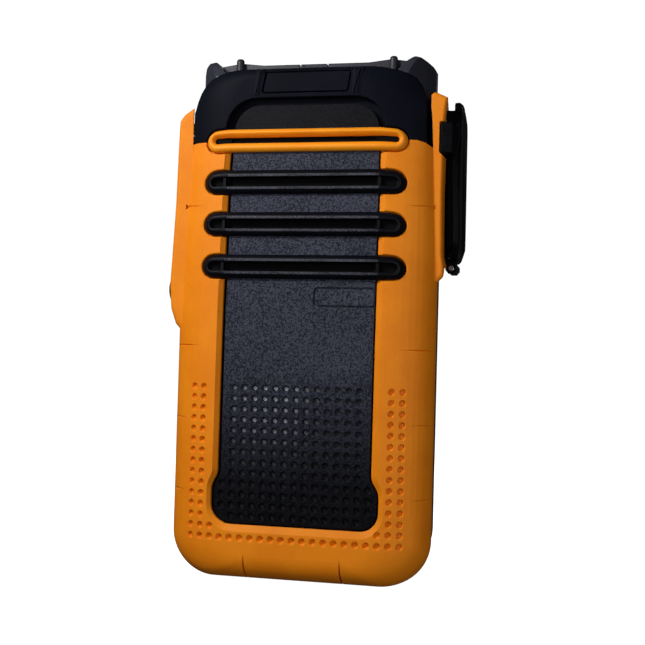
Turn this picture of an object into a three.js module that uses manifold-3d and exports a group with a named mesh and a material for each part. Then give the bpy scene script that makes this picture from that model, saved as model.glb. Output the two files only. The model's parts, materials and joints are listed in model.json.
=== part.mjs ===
// A hand-held two-way radio: black moulded housing, orange over-moulded jacket, four speaker bars,
// rear battery with a belt clip, and the electronics inside.
// Millimetres. +X is the right side seen from the front, -Y is the front, +Z is up along the height.
// The origin is the centre of the base. Depth d is measured backwards from the front face.
import * as THREE from "three";
import { mergeVertices } from "three/addons/utils/BufferGeometryUtils.js";
import Module from "manifold-3d";

const wasm = await Module();
wasm.setup();

// ---- driving dimensions ----
const HALF_W = 27.6; // half width of the body
const FRONT_Y = -15; // plane of the front face
const SPLIT_Y = 4.5; // back edge of the housing and jacket
const BACK_Y = 15; // back of the battery
const BROW_Z = 105.9; // top edge of the front face
const CROWN_X = 15; // the front face is flat out to here
const CROWN_D = 7; // depth over which the front rolls into the sides
const FOOT_D = 5; // depth over which the front rolls into the base
const BROW_D = 2; // depth over which the front rolls into the top
const TAPER = 0.15; // how fast the sides draw in behind the widest line
const HEAD_CURVE = 2.6; // the upper corners are superellipses of this power
const JACKET_WALL = 1.6;
const GAP = 0.3; // clearance between neighbouring pieces
const HOUSING_INSET = JACKET_WALL + GAP; // outside of the housing under the jacket
const CAVITY_INSET = HOUSING_INSET + 1.5; // inside of the housing
const BEZEL_Z = 90.6; // top edge of the orange jacket
const PANEL = { half: 16.0, z0: 11.9, z1: 98.0, rTop: 4.7, neckZ: 21.5 };
const PANEL_FOOT = { half: 17.4, z: 19.2, r: 4.5 }; // the panel is wider below its neck
const PANEL_D = 0.6; // the panel's face lies this far behind the jacket's face
const PANEL_T = 1.0;
const RING_Z = [64.5, 73.3, 82.0, 90.6]; // heights of the speaker bars, lowest first
const RING = { half: 21.1, halfH: 2.45, slotHalf: 19.0, slotHalfH: 0.85, proud: 0.7, back: 0.3 };
const SPEAKER = { z: 77, r: 18 };
const DECK_Z = 104; // top deck between the two guard horns
const KNOB_Y = -0.3; // line of the antenna socket and the two rotary switches
const ANTENNA_X = -12.5;
const CHANNEL_X = 0.5;
const VOLUME_X = 12.5;
const PTT = { z0: 67.7, z1: 94.3, y0: -6.4, y1: 2.4 };
const KEY = { z: 60.2, y: -3.2, r: 3.6 };
const PORT = { z0: 65.6, z1: 92.6, y0: -6.6, y1: 2.6 };
const COVER_PIN = { x: 29.9, z: 65.3, r: 0.55 };
const BATTERY = { half: 25.2, y0: 4.9, z1: 92.6, rTop: 3, rLow: 9.5, roll: 4 };
const CLIP = { half: 9, pinY: 19.4, pinZ: 84, z0: 24 };
const SIDE_GROOVES = [17.9, 32.9, 48.0, 77.2]; // heights of the short grooves on the jacket's corners
const BASE_NICKS = [-10.1, 10.1]; // the two nicks in the front edge of the base
const GROOVE = { half: 0.35, deep: 0.55, x: 22.4, back: -9.9 };
const SPEAKER_SIDES = 28; // facets of the turned speaker pieces
const MIC = { x: -15.5, z: 57.4 };

// ---- materials ----
const BLACK = { color: 0x14161e, roughness: 0.5, metalness: 0 };
const PANEL_BLACK = { color: 0x26272d, roughness: 0.75, metalness: 0 };
const ORANGE = { color: 0xf39a22, roughness: 0.6, metalness: 0 };
const RUBBER = { color: 0x121318, roughness: 0.8, metalness: 0 };
const GREY = { color: 0x2a2c33, roughness: 0.45, metalness: 0 };
const ALLOY = { color: 0x4b4d52, roughness: 0.45, metalness: 1 };
const STEEL = { color: 0xb9bcc1, roughness: 0.3, metalness: 1 };
const GOLD = { color: 0xd6a84a, roughness: 0.3, metalness: 1 };
const BOARD = { color: 0x1d5a34, roughness: 0.5, metalness: 0 };
const CELL = { color: 0x3d6fa8, roughness: 0.5, metalness: 0 };
const LENS = { color: 0x8c9299, roughness: 0.2, metalness: 0 };

const radio = new THREE.Group();

function node(name, solid, finish) {
  const mesh = new THREE.Mesh(geometryOf(solid), new THREE.MeshStandardMaterial(finish));
  mesh.name = name;
  radio.add(mesh);
}

// ---- solids ----
function geometryOf(solid) {
  const made = solid.getMesh();
  const geometry = new THREE.BufferGeometry();
  geometry.setAttribute("position", new THREE.BufferAttribute(new Float32Array(made.vertProperties), 3));
  geometry.setIndex(new THREE.BufferAttribute(new Uint32Array(made.triVerts), 1));
  geometry.computeVertexNormals();
  return geometry;
}

// A closed geometry as a solid with its faces pointing out.
function solidOf(geometry) {
  const bare = geometry.clone();
  bare.deleteAttribute("normal");
  bare.deleteAttribute("uv");
  const merged = mergeVertices(bare, 1e-4);
  const index = Array.from(merged.index.array);
  const faces = [];
  for (let i = 0; i < index.length; i += 3) {
    const [a, b, c] = index.slice(i, i + 3);
    if (a !== b && b !== c && a !== c) faces.push([a, b, c]);
  }
  const build = (list) => {
    const triVerts = new Uint32Array(list.flat());
    const vertProperties = merged.attributes.position.array;
    return new wasm.Manifold(new wasm.Mesh({ numProp: 3, vertProperties, triVerts }));
  };
  const made = build(faces);
  return made.volume() < 0 ? build(faces.map(([a, b, c]) => [a, c, b])) : made;
}

const join = (...solids) => solids.reduce((a, b) => a.add(b));
const cut = (body, ...tools) => tools.reduce((a, b) => a.subtract(b), body);

function box(x0, x1, y0, y1, z0, z1) {
  const shape = new THREE.BoxGeometry(x1 - x0, y1 - y0, z1 - z0);
  return solidOf(shape.translate((x0 + x1) / 2, (y0 + y1) / 2, (z0 + z1) / 2));
}

function rodX(x0, x1, y, z, r, sides = 20) {
  const rod = new THREE.CylinderGeometry(r, r, x1 - x0, sides).rotateZ(-Math.PI / 2);
  return solidOf(rod.translate((x0 + x1) / 2, y, z));
}

function rodY(x, y0, y1, z, r, sides = 20) {
  return solidOf(new THREE.CylinderGeometry(r, r, y1 - y0, sides).translate(x, (y0 + y1) / 2, z));
}

function rodZ(x, y, z0, z1, r, sides = 20) {
  const rod = new THREE.CylinderGeometry(r, r, z1 - z0, sides).rotateX(Math.PI / 2);
  return solidOf(rod.translate(x, y, (z0 + z1) / 2));
}

// A turned piece on a Y axis; the profile lists [radius, y] and starts and ends on the axis or on itself.
function turnedY(x, z, profile, sides) {
  const points = profile.map(([r, y]) => new THREE.Vector2(r, y));
  return solidOf(new THREE.LatheGeometry(points, sides).translate(x, 0, z));
}

function extrude(shape, depth, bevel, curveSegments) {
  const options = { depth, curveSegments, bevelEnabled: bevel > 0, bevelSegments: 1 };
  Object.assign(options, { bevelThickness: bevel, bevelSize: bevel, bevelOffset: -bevel });
  return new THREE.ExtrudeGeometry(shape, options);
}

// An outline in X and Z given depth along Y, with bevelled ends when bevel is set.
function slabY(shape, y0, y1, bevel = 0, curveSegments = 3) {
  const slab = extrude(shape, y1 - y0 - 2 * bevel, bevel, curveSegments).rotateX(Math.PI / 2);
  return solidOf(slab.translate(0, y1 - bevel, 0));
}

// An outline in Y and Z given length along X.
function slabX(shape, x0, x1, bevel = 0, curveSegments = 3) {
  const turn = new THREE.Matrix4().makeBasis(
    new THREE.Vector3(0, 1, 0),
    new THREE.Vector3(0, 0, 1),
    new THREE.Vector3(1, 0, 0),
  );
  const slab = extrude(shape, x1 - x0 - 2 * bevel, bevel, curveSegments).applyMatrix4(turn);
  return solidOf(slab.translate(x0 + bevel, 0, 0));
}

// An outline in X and Y given height along Z.
function slabZ(shape, z0, z1) {
  return solidOf(extrude(shape, z1 - z0, 0, 3).translate(0, 0, z0));
}

function polygon(points) {
  return new THREE.Shape(points.map(([u, v]) => new THREE.Vector2(u, v)));
}

function roundedRect(u0, u1, v0, v1, r) {
  const shape = new THREE.Shape();
  shape.moveTo(u0 + r, v0);
  shape.lineTo(u1 - r, v0);
  shape.absarc(u1 - r, v0 + r, r, -Math.PI / 2, 0);
  shape.lineTo(u1, v1 - r);
  shape.absarc(u1 - r, v1 - r, r, 0, Math.PI / 2);
  shape.lineTo(u0 + r, v1);
  shape.absarc(u0 + r, v1 - r, r, Math.PI / 2, Math.PI);
  shape.lineTo(u0, v0 + r);
  shape.absarc(u0 + r, v0 + r, r, Math.PI, Math.PI * 1.5);
  return shape;
}

// ---- the body's outer form ----
// How far an edge of the given roll size has come in at depth d, for a surface inset by t.
function rolled(d, t, size) {
  if (t >= size || d >= size) return t;
  const k = (size - d) / (size - t);
  return size - (size - t) * Math.sqrt(Math.max(0, 1 - k * k));
}

function halfWidthAt(d, t) {
  if (d >= CROWN_D) return HALF_W - t - TAPER * (d - CROWN_D);
  const k = (CROWN_D - d) / (CROWN_D - t);
  return CROWN_X + (HALF_W - CROWN_X - t) * Math.sqrt(Math.max(0, 1 - k * k));
}

// One closed ring round the body at depth d, inset by t, with elliptical corners.
function ringAt(d, t) {
  const steps = 6;
  const half = halfWidthAt(d, t);
  const bottom = rolled(d, t, FOOT_D);
  const top = BROW_Z - rolled(d, t, BROW_D);
  const f = (half - CROWN_X) / (HALF_W - CROWN_X);
  const foot = { x: 5 + (4.5 - t) * f, z: 4 + (5.5 - t) * f };
  const head = { x: 7 + (6.2 - t) * f, z: 8 + (4.3 - t) * f };
  const ring = [];
  const corner = (x, z, r, start, power) => {
    for (let i = 0; i <= steps; i++) {
      const a = ((start + (90 * i) / steps) * Math.PI) / 180;
      const [u, v] = [Math.cos(a), Math.sin(a)].map((c) => Math.sign(c) * Math.abs(c) ** (2 / power));
      ring.push(new THREE.Vector3(x + r.x * u, FRONT_Y + d, z + r.z * v));
    }
  };
  corner(half - head.x, top - head.z, head, 0, HEAD_CURVE);
  corner(head.x - half, top - head.z, head, 90, HEAD_CURVE);
  corner(foot.x - half, bottom + foot.z, foot, 180, 2);
  corner(half - foot.x, bottom + foot.z, foot, 270, 2);
  return ring;
}

// A solid through rings that run anticlockwise seen from the front, first ring foremost.
function loft(rings) {
  const n = rings[0].length;
  const points = rings.flat();
  const index = [];
  for (let k = 0; k + 1 < rings.length; k++) {
    for (let i = 0; i < n; i++) {
      const a = k * n + i;
      const b = k * n + ((i + 1) % n);
      index.push(a, a + n, b, b, a + n, b + n);
    }
  }
  const cap = (first, flip) => {
    const centre = new THREE.Vector3();
    for (let i = 0; i < n; i++) centre.addScaledVector(points[first + i], 1 / n);
    points.push(centre);
    for (let i = 0; i < n; i++) {
      const a = first + i;
      const b = first + ((i + 1) % n);
      index.push(points.length - 1, flip ? b : a, flip ? a : b);
    }
  };
  cap(0, false);
  cap((rings.length - 1) * n, true);
  const geometry = new THREE.BufferGeometry().setFromPoints(points);
  geometry.setIndex(index);
  return solidOf(geometry);
}

// The body's form inset by t, from its front face back to y1.
function body(t, y1) {
  const steps = 5;
  const rings = [];
  for (let i = 0; i <= steps; i++) {
    rings.push(ringAt(t + (CROWN_D - t) * (1 - Math.cos((i / steps) * (Math.PI / 2))), t));
  }
  rings.push(ringAt(y1 - FRONT_Y, t));
  return loft(rings);
}

function crownAt(x) {
  const k = Math.max(0, Math.abs(x) - CROWN_X) / (HALF_W - CROWN_X);
  return CROWN_D * (1 - Math.sqrt(1 - k * k));
}

// ---- outlines on the front face ----
function panelOutline(grow) {
  const half = PANEL.half + grow;
  const foot = PANEL_FOOT.half + grow;
  const low = PANEL.z0 - grow;
  const high = PANEL.z1 + grow;
  const rTop = PANEL.rTop + grow;
  const rFoot = PANEL_FOOT.r;
  const shape = new THREE.Shape();
  shape.moveTo(rFoot - foot, low);
  shape.lineTo(foot - rFoot, low);
  shape.absarc(foot - rFoot, low + rFoot, rFoot, -Math.PI / 2, 0);
  shape.lineTo(foot, PANEL_FOOT.z);
  shape.lineTo(half, PANEL.neckZ);
  shape.lineTo(half, high - rTop);
  shape.absarc(half - rTop, high - rTop, rTop, 0, Math.PI / 2);
  shape.lineTo(rTop - half, high);
  shape.absarc(rTop - half, high - rTop, rTop, Math.PI / 2, Math.PI);
  shape.lineTo(-half, PANEL.neckZ);
  shape.lineTo(-foot, PANEL_FOOT.z);
  shape.lineTo(-foot, low + rFoot);
  shape.absarc(rFoot - foot, low + rFoot, rFoot, Math.PI, Math.PI * 1.5);
  return shape;
}

// A long bar with round ends that follows the crown, between two depths behind the front face.
function bar(half, halfH, z, d0, d1) {
  const stations = [];
  for (let i = 0; i <= 5; i++) {
    const a = ((8 + (i * 82) / 5) * Math.PI) / 180;
    stations.push([half - halfH + halfH * Math.cos(a), halfH * Math.sin(a)]);
  }
  [17.8, 16.4, CROWN_X].filter((x) => x < half - halfH).forEach((x) => stations.push([x, halfH]));
  const mirrored = [...stations].reverse().map(([x, h]) => [-x, h]);
  return loft(
    [...stations, ...mirrored].map(([x, h]) => {
      const front = FRONT_Y + crownAt(x) + d0;
      const back = FRONT_Y + crownAt(x) + d1;
      return [
        new THREE.Vector3(x, front, z - h),
        new THREE.Vector3(x, back, z - h),
        new THREE.Vector3(x, back, z + h),
        new THREE.Vector3(x, front, z + h),
      ];
    }),
  );
}

// ---- side lobes: the raised surrounds of the talk button and of the accessory port ----
// Their front edges lean forwards towards the top; front is the depth of that edge at height z.
const LOBE = { x: 24.4, z: 76, edge: 1.2, lean: 0.042 };
const LEFT_LOBE = {
  front: -12.1,
  outline: [
    [-LOBE.x, 50.6],
    [-26.4, 50.9],
    [-27.3, 51.6],
    [-28.1, 52.9],
    [-29.1, 55.8],
    [-29.4, 61],
    [-29.1, 66],
    [-28.4, 78],
    [-27.9, 93],
    [-27.6, 96.2],
    [-26.6, 97.8],
    [-LOBE.x, 99.3],
  ],
};
const RIGHT_LOBE = {
  front: -10.9,
  outline: [
    [LOBE.x, 60.6],
    [27.3, 60.8],
    [28.4, 61.5],
    [29.0, 62.8],
    [29.0, 64.3],
    [28.6, 67.5],
    [28.4, 88],
    [28.8, 98.2],
    [28.7, 99.6],
    [27.8, 100.5],
    [26.4, 101.1],
    [LOBE.x, 101.1],
  ],
};

// A lobe with a rounded front edge. A positive grow makes it larger all round, as the clearance tool
// for its neighbours.
function lobe({ front, outline }, grow) {
  const side = Math.sign(outline[0][0]);
  const width = Math.max(...outline.map(([x]) => Math.abs(x))) - LOBE.x;
  const heights = outline.map(([, z]) => z);
  const middle = (Math.min(...heights) + Math.max(...heights)) / 2;
  const tall = (Math.max(...heights) - Math.min(...heights)) / 2;
  const ringFor = (y, inset, lean) =>
    outline.map(([x, z]) => {
      const reach = (Math.abs(x) - LOBE.x) * (1 - inset / width);
      const out = reach > 0 ? LOBE.x + reach + grow : LOBE.x - grow;
      const spread = 1 - (inset - grow) / tall;
      return new THREE.Vector3(side * out, y - lean * (z - LOBE.z), middle + (z - middle) * spread);
    });
  const rings = [0, 30, 60, 90].map((degrees) => {
    const a = (degrees * Math.PI) / 180;
    const y = front - grow + LOBE.edge * (1 - Math.cos(a));
    return ringFor(y, LOBE.edge * (1 - Math.sin(a)), LOBE.lean);
  });
  rings.push(ringFor(SPLIT_Y + 3, 0, 0));
  return loft(rings);
}

const FAR = 140; // reach of the cutting tools beyond the body
const behindSplit = box(-FAR, FAR, SPLIT_Y, FAR, -FAR, FAR);

function makeJacket() {
  const shell = cut(body(0, SPLIT_Y), box(-60, 60, -60, 60, BEZEL_Z, 140));
  const grown = join(shell, lobe(LEFT_LOBE, 0), lobe(RIGHT_LOBE, 0));
  let jacket = cut(grown, body(JACKET_WALL, SPLIT_Y + 8), behindSplit);
  jacket = cut(jacket, slabY(panelOutline(GAP), FRONT_Y - 2, FRONT_Y + 6));
  RING_Z.forEach((z) => {
    jacket = cut(jacket, bar(RING.half + GAP, RING.halfH + GAP, z, -3, RING.back + GAP));
  });
  const grooveFloor = join(body(GROOVE.deep, SPLIT_Y), box(-GROOVE.x, GROOVE.x, -20, 0, 0, BROW_Z));
  SIDE_GROOVES.forEach((z) => {
    const band = box(-40, 40, -20, GROOVE.back, z - GROOVE.half, z + GROOVE.half);
    jacket = cut(jacket, cut(band, grooveFloor));
  });
  BASE_NICKS.forEach((x) => {
    jacket = cut(jacket, box(x - GROOVE.half, x + GROOVE.half, -16, -8, -1, 0.9));
  });
  const talk = slabX(roundedRect(PTT.y0, PTT.y1, PTT.z0, PTT.z1, 3), -40, -20);
  const key = rodX(-40, -20, KEY.y, KEY.z, KEY.r);
  const port = slabX(roundedRect(PORT.y0, PORT.y1, PORT.z0, PORT.z1, 2.5), 20, 40);
  const latchNotch = box(27.5, 40, FRONT_Y, PORT.y0 + 1, 87.8, 94.8);
  const hingeNotch = box(28.2, 40, -5.4, 1.4, 63.4, 67);
  return cut(jacket, talk, key, port, latchNotch, hingeNotch);
}

function makeHousing() {
  const low = cut(body(HOUSING_INSET, SPLIT_Y), box(-60, 60, -60, 60, BEZEL_Z + GAP, 140));
  const high = cut(body(0, SPLIT_Y), box(-60, 60, -60, 60, -10, BEZEL_Z + GAP));
  let housing = cut(join(low, high), body(CAVITY_INSET, SPLIT_Y + 8));
  housing = cut(housing, lobe(LEFT_LOBE, GAP), lobe(RIGHT_LOBE, GAP));
  // the top behind the brow is left to the top cover
  housing = cut(housing, box(-60, 60, FRONT_Y + 4.5, 60, 94.8, 140));
  housing = cut(housing, slabY(panelOutline(1.5), FRONT_Y - 2, FRONT_Y + HOUSING_INSET));
  housing = cut(housing, bar(RING.half + GAP, RING.halfH + GAP, RING_Z[3], -3, RING.back + GAP));
  // recess of the name plate
  housing = cut(housing, slabY(roundedRect(-9.2, 9.8, 100.3, 105, 0.6), FRONT_Y - 2, FRONT_Y + 1.0));
  RING_Z.forEach((z) => {
    housing = cut(housing, bar(14.5, RING.slotHalfH, z, -2, 8));
  });
  const talk = slabX(roundedRect(PTT.y0 - GAP, PTT.y1 + GAP, PTT.z0 - GAP, PTT.z1 + GAP, 3), -40, -20);
  const key = rodX(-40, -20, KEY.y, KEY.z, KEY.r + GAP);
  const port = slabX(roundedRect(PORT.y0 + 0.5, PORT.y1 - 0.5, PORT.z0 + 0.5, PORT.z1 - 0.5, 2), 20, 40);
  return cut(housing, talk, key, port, behindSplit);
}

function makePanel() {
  let panel = slabY(panelOutline(0), FRONT_Y + PANEL_D, FRONT_Y + PANEL_D + PANEL_T);
  RING_Z.forEach((z) => {
    panel = cut(panel, bar(15.2, RING.slotHalfH, z, -2, 6));
  });
  const badge = slabY(roundedRect(3.1, 16.0, 56.4, 60.4, 0.9), FRONT_Y - 2, FRONT_Y + PANEL_D + 0.5);
  return cut(panel, badge);
}

function makeRing(z) {
  const outer = bar(RING.half, RING.halfH, z, -RING.proud, RING.back);
  return cut(outer, bar(RING.slotHalf, RING.slotHalfH, z, -3, 4));
}

// ---- top cover: deck, two guard horns, a rim across the deck and two locating posts ----
const HORN_SIDE = [
  [25.2, 95.1],
  [25.2, 105.4],
  [25.0, 107.0],
  [24.3, 108.4],
  [23.2, 109.4],
  [21.9, 109.9],
  [21.0, 109.4],
  [20.2, 108.0],
  [19.1, 106.6],
  [18.1, 105.2],
  [17.3, DECK_Z],
];
const RIM = { y0: -5.8, y1: -4.4, top: 108.6 };

function makeTopCover() {
  const mirrored = (right) => polygon([...right, ...[...right].reverse().map(([u, v]) => [-u, v])]);
  const front = FRONT_Y + 4.8;
  const back = BACK_Y - 0.5;
  const section = slabY(mirrored(HORN_SIDE), front, back);
  const profile = polygon([
    [front, 90],
    [back, 90],
    [back, 103.6],
    [back - 1.7, 105.2],
    [4, 108.2],
    [-2.5, 109.9],
    [-6.4, 109.9],
    [-8.6, 108.2],
    [front, 105.6],
  ]);
  const plan = mirrored([
    [21.5, front],
    [23.4, -8.6],
    [24.7, -6.4],
    [25.2, -4],
    [25.2, 0],
    [23.2, back],
  ]);
  let cover = section.intersect(slabX(profile, -30, 30)).intersect(slabZ(plan, 80, 120));
  const rimShape = mirrored([
    [21.2, DECK_Z - 1],
    [21.2, RIM.top - 0.2],
    [16, RIM.top + 0.5],
    [11.5, RIM.top],
  ]);
  const posts = [-17, 17].map((x) => rodZ(x, -6.2, DECK_Z - 1, 109.9, 0.82, 16));
  cover = join(cover, slabY(rimShape, RIM.y0, RIM.y1), ...posts);
  // hollow under the deck, and the step over the chassis head
  cover = cut(cover, box(-21.5, 21.5, FRONT_Y + 3, SPLIT_Y - 1.2, 90, 102.2));
  cover = cut(cover, box(-21.5, 21.5, FRONT_Y + 3, 60, 90, 100.8));
  cover = cut(cover, box(-60, 60, SPLIT_Y - 0.2, 60, 90, 100.8));
  // the cover's skirt clears the lobes
  cover = cut(cover, lobe(LEFT_LOBE, GAP), lobe(RIGHT_LOBE, GAP));
  // notch of the status light, and the three holes in the deck
  cover = cut(cover, box(-4.1, 3.3, -7, -3, 104.6, 110));
  cover = cut(cover, rodZ(ANTENNA_X, KNOB_Y, 90, 120, 4.6));
  return cut(cover, rodZ(CHANNEL_X, KNOB_Y, 90, 120, 3.8), rodZ(VOLUME_X, KNOB_Y, 90, 120, 3.8));
}

// ---- speaker and microphone ----
function speakerPieces() {
  const { z, r } = SPEAKER;
  const disc = (y0, y1, radius) => rodY(0, y0, y1, z, radius, SPEAKER_SIDES);
  node("speaker_mesh", disc(-11.4, -11.1, r - 1.5), RUBBER);
  node("speaker_gasket", cut(disc(-10.8, -10.2, r - 0.2), disc(-12, -9, r - 2.5)), RUBBER);
  const frame = turnedY(0, z, [
    [7.4, -4.2],
    [7.4, -4.9],
    [r - 4, -7.6],
    [r - 2.6, -9.2],
    [r - 2.6, -9.9],
    [r, -9.9],
    [r, -8.9],
    [r - 1.6, -8.9],
    [r - 3, -6.9],
    [9.5, -4.2],
    [7.4, -4.2],
  ], SPEAKER_SIDES);
  node("speaker_frame", frame, STEEL);
  const cone = turnedY(0, z, [
    [0, -9.3],
    [4.5, -8.9],
    [5.5, -7.5],
    [12, -9.5],
    [14.6, -9.6],
    [14.6, -9.2],
    [12, -9.1],
    [5.4, -7.1],
    [4.2, -8.4],
    [0, -8.8],
  ], SPEAKER_SIDES);
  node("speaker_cone", cone, PANEL_BLACK);
  node("speaker_magnet", join(disc(-6.6, -2.6, 6.9), disc(-7.6, -6.5, 3.4)), STEEL);
  node("microphone", rodY(MIC.x, -10.6, -8.4, MIC.z, 2), STEEL);
  const boot = cut(rodY(MIC.x, -11.2, -7.8, MIC.z, 2.9), rodY(MIC.x, -10.8, -7, MIC.z, 2.15));
  node("microphone_boot", boot, RUBBER);
}

// ---- chassis, boards and seal ----
const SCREWS = [
  [-18.2, 16],
  [18.2, 16],
  [-18.2, 84],
  [18.2, 84],
];

function innerOutline(t) {
  const half = HALF_W - t - TAPER * (SPLIT_Y - FRONT_Y - CROWN_D);
  return roundedRect(-half, half, t, 94.5, 6);
}

function makeChassis() {
  const t = CAVITY_INSET + GAP;
  const plate = slabY(innerOutline(t), 1.5, 4.2);
  const head = box(-BATTERY.half, BATTERY.half, SPLIT_Y + GAP, 14.3, 93.1, 100.5);
  const neck = box(-20, 20, 3.4, SPLIT_Y + 1, 93.1, 100.5);
  // the bracket that the battery latch and its springs sit in
  const hanger = join(box(-11, 11, 4, 6.2, 4.2, 11), box(-11, 11, 4.9, 6.2, 1.2, 11));
  const shelf = box(-11, 11, 6, 9.6, 9.8, 11);
  let chassis = join(plate, head, neck, hanger, shelf);
  chassis = cut(chassis, box(-8.4, 8.4, 0, 4.8, 80.4, 88.4));
  SCREWS.forEach(([x, z]) => {
    chassis = cut(chassis, rodY(x, 0, 6, z, 1.1, 16), rodY(x, 2.9, 6, z, 2.1, 20));
  });
  // heat fins on the back of the head
  for (let x = -22; x <= 22; x += 4) {
    chassis = cut(chassis, box(x - 0.8, x + 0.8, 13.1, 16, 94.6, 102));
  }
  return chassis;
}

function boardPieces() {
  let board = slabY(roundedRect(-20.9, 20.9, 11, 92, 2), -1, 0.2);
  SCREWS.forEach(([x, z]) => {
    board = cut(board, rodY(x, -3, 3, z, 1.2, 16));
  });
  node("main_board", board, BOARD);
  const can = (x0, x1, z0, z1) => slabY(roundedRect(x0, x1, z0, z1, 0.8), -3.7, -1.3, 0.3);
  node("shield_can_rf", can(-17, 17, 14, 34), STEEL);
  node("shield_can_logic", can(-17, 17, 36.5, 52), STEEL);
  const terminal = join(box(-7.8, 7.8, 0.5, 3.6, 81, 87.8), box(-6.5, 6.5, 3.5, 4.5, 82.5, 86.5));
  node("battery_terminal", terminal, GREY);
  const outer = slabY(innerOutline(CAVITY_INSET + GAP), 0.5, 1.2);
  node("chassis_seal", cut(outer, slabY(innerOutline(CAVITY_INSET + GAP + 1.2), 0, 2)), RUBBER);
  SCREWS.forEach(([x, z], i) => {
    const shank = rodY(x, -2.2, 3.3, z, 0.9, 12);
    const slots = [
      box(x - 1.2, x + 1.2, 3.8, 5, z - 0.2, z + 0.2),
      box(x - 0.2, x + 0.2, 3.8, 5, z - 1.2, z + 1.2),
    ];
    const head = cut(rodY(x, 3.1, 4.3, z, 1.8, 20), ...slots);
    node("chassis_screw_" + (i + 1), join(shank, head), STEEL);
  });
}

// ---- antenna socket and rotary switches ----
function antennaSocket() {
  const top = 106.4;
  const x = ANTENNA_X;
  const shell = join(rodZ(x, KNOB_Y, 101, top, 4.2, 32), rodZ(x, KNOB_Y, 95, 101.4, 2.6, 24));
  const bore = cut(rodZ(x, KNOB_Y, 103, top + 1, 3.2, 32), rodZ(x, KNOB_Y, 102, top - 1, 1.1, 16));
  node("antenna_socket", cut(shell, bore), GOLD);
}

function rotary(name, x) {
  const body = box(x - 5, x + 5, -6, 0.2, 93.4, 101.9);
  const bush = rodZ(x, KNOB_Y, 101.5, 104.9, 3.4, 32);
  const bore = rodZ(x, KNOB_Y, 97, 120, 2.55, 24);
  node(name + "_switch", cut(join(body, bush), bore), GREY);
  const shaft = rodZ(x, KNOB_Y, 97.4, 106.6, 2.45, 24);
  const flat = box(x - 4, x + 4, KNOB_Y + 1.2, KNOB_Y + 5, 105, 110);
  node(name + "_shaft", cut(shaft, flat), STEEL);
  const hexagon = new THREE.CylinderGeometry(4.4, 4.4, 0.7, 6).rotateX(Math.PI / 2).rotateZ(Math.PI / 6);
  const nut = solidOf(hexagon.translate(x, KNOB_Y, 104.65));
  node(name + "_nut", cut(nut, rodZ(x, KNOB_Y, 100, 110, 3.55, 24)), STEEL);
}

// ---- talk button, side key and their switches ----
function sideControls() {
  const c = 0.35;
  const face = polygon([
    [-29.7, PTT.z0],
    [-28.6, PTT.z1],
    [-25, PTT.z1],
    [-25, PTT.z0],
  ]);
  const footprint = slabX(roundedRect(PTT.y0 + c, PTT.y1 - c, PTT.z0 + c, PTT.z1 - c, 2.7), -33, -20);
  const pad = slabY(face, PTT.y0, PTT.y1).intersect(footprint);
  const plunger = rodX(-26, -24.2, -2, 81, 1.6, 16);
  node("ptt_button", join(pad, plunger), RUBBER);
  const talkSwitch = join(box(-22.9, -21.2, -5, 0.3, 78, 84), rodX(-23.1, -22.8, -2, 81, 1.4, 16));
  node("ptt_switch", talkSwitch, STEEL);
  const profile = [
    [0, 31.7],
    [1.5, 31.6],
    [2.7, 31.3],
    [KEY.r - c, 30.7],
    [KEY.r - c, 25],
    [1.2, 25],
    [1.2, 24.2],
    [0, 24.2],
  ];
  const points = profile.map(([r, x]) => new THREE.Vector2(r, x));
  const key = new THREE.LatheGeometry(points, 28).rotateZ(Math.PI / 2).translate(0, KEY.y, KEY.z);
  node("side_key", solidOf(key), RUBBER);
  const dome = rodX(-23.1, -22.8, KEY.y, KEY.z, 1.2, 16);
  const keySwitch = box(-22.9, -21.2, KEY.y - 2.4, KEY.y + 2.4, KEY.z - 2.5, KEY.z + 2.5);
  node("side_key_switch", join(keySwitch, dome), STEEL);
}

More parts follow.
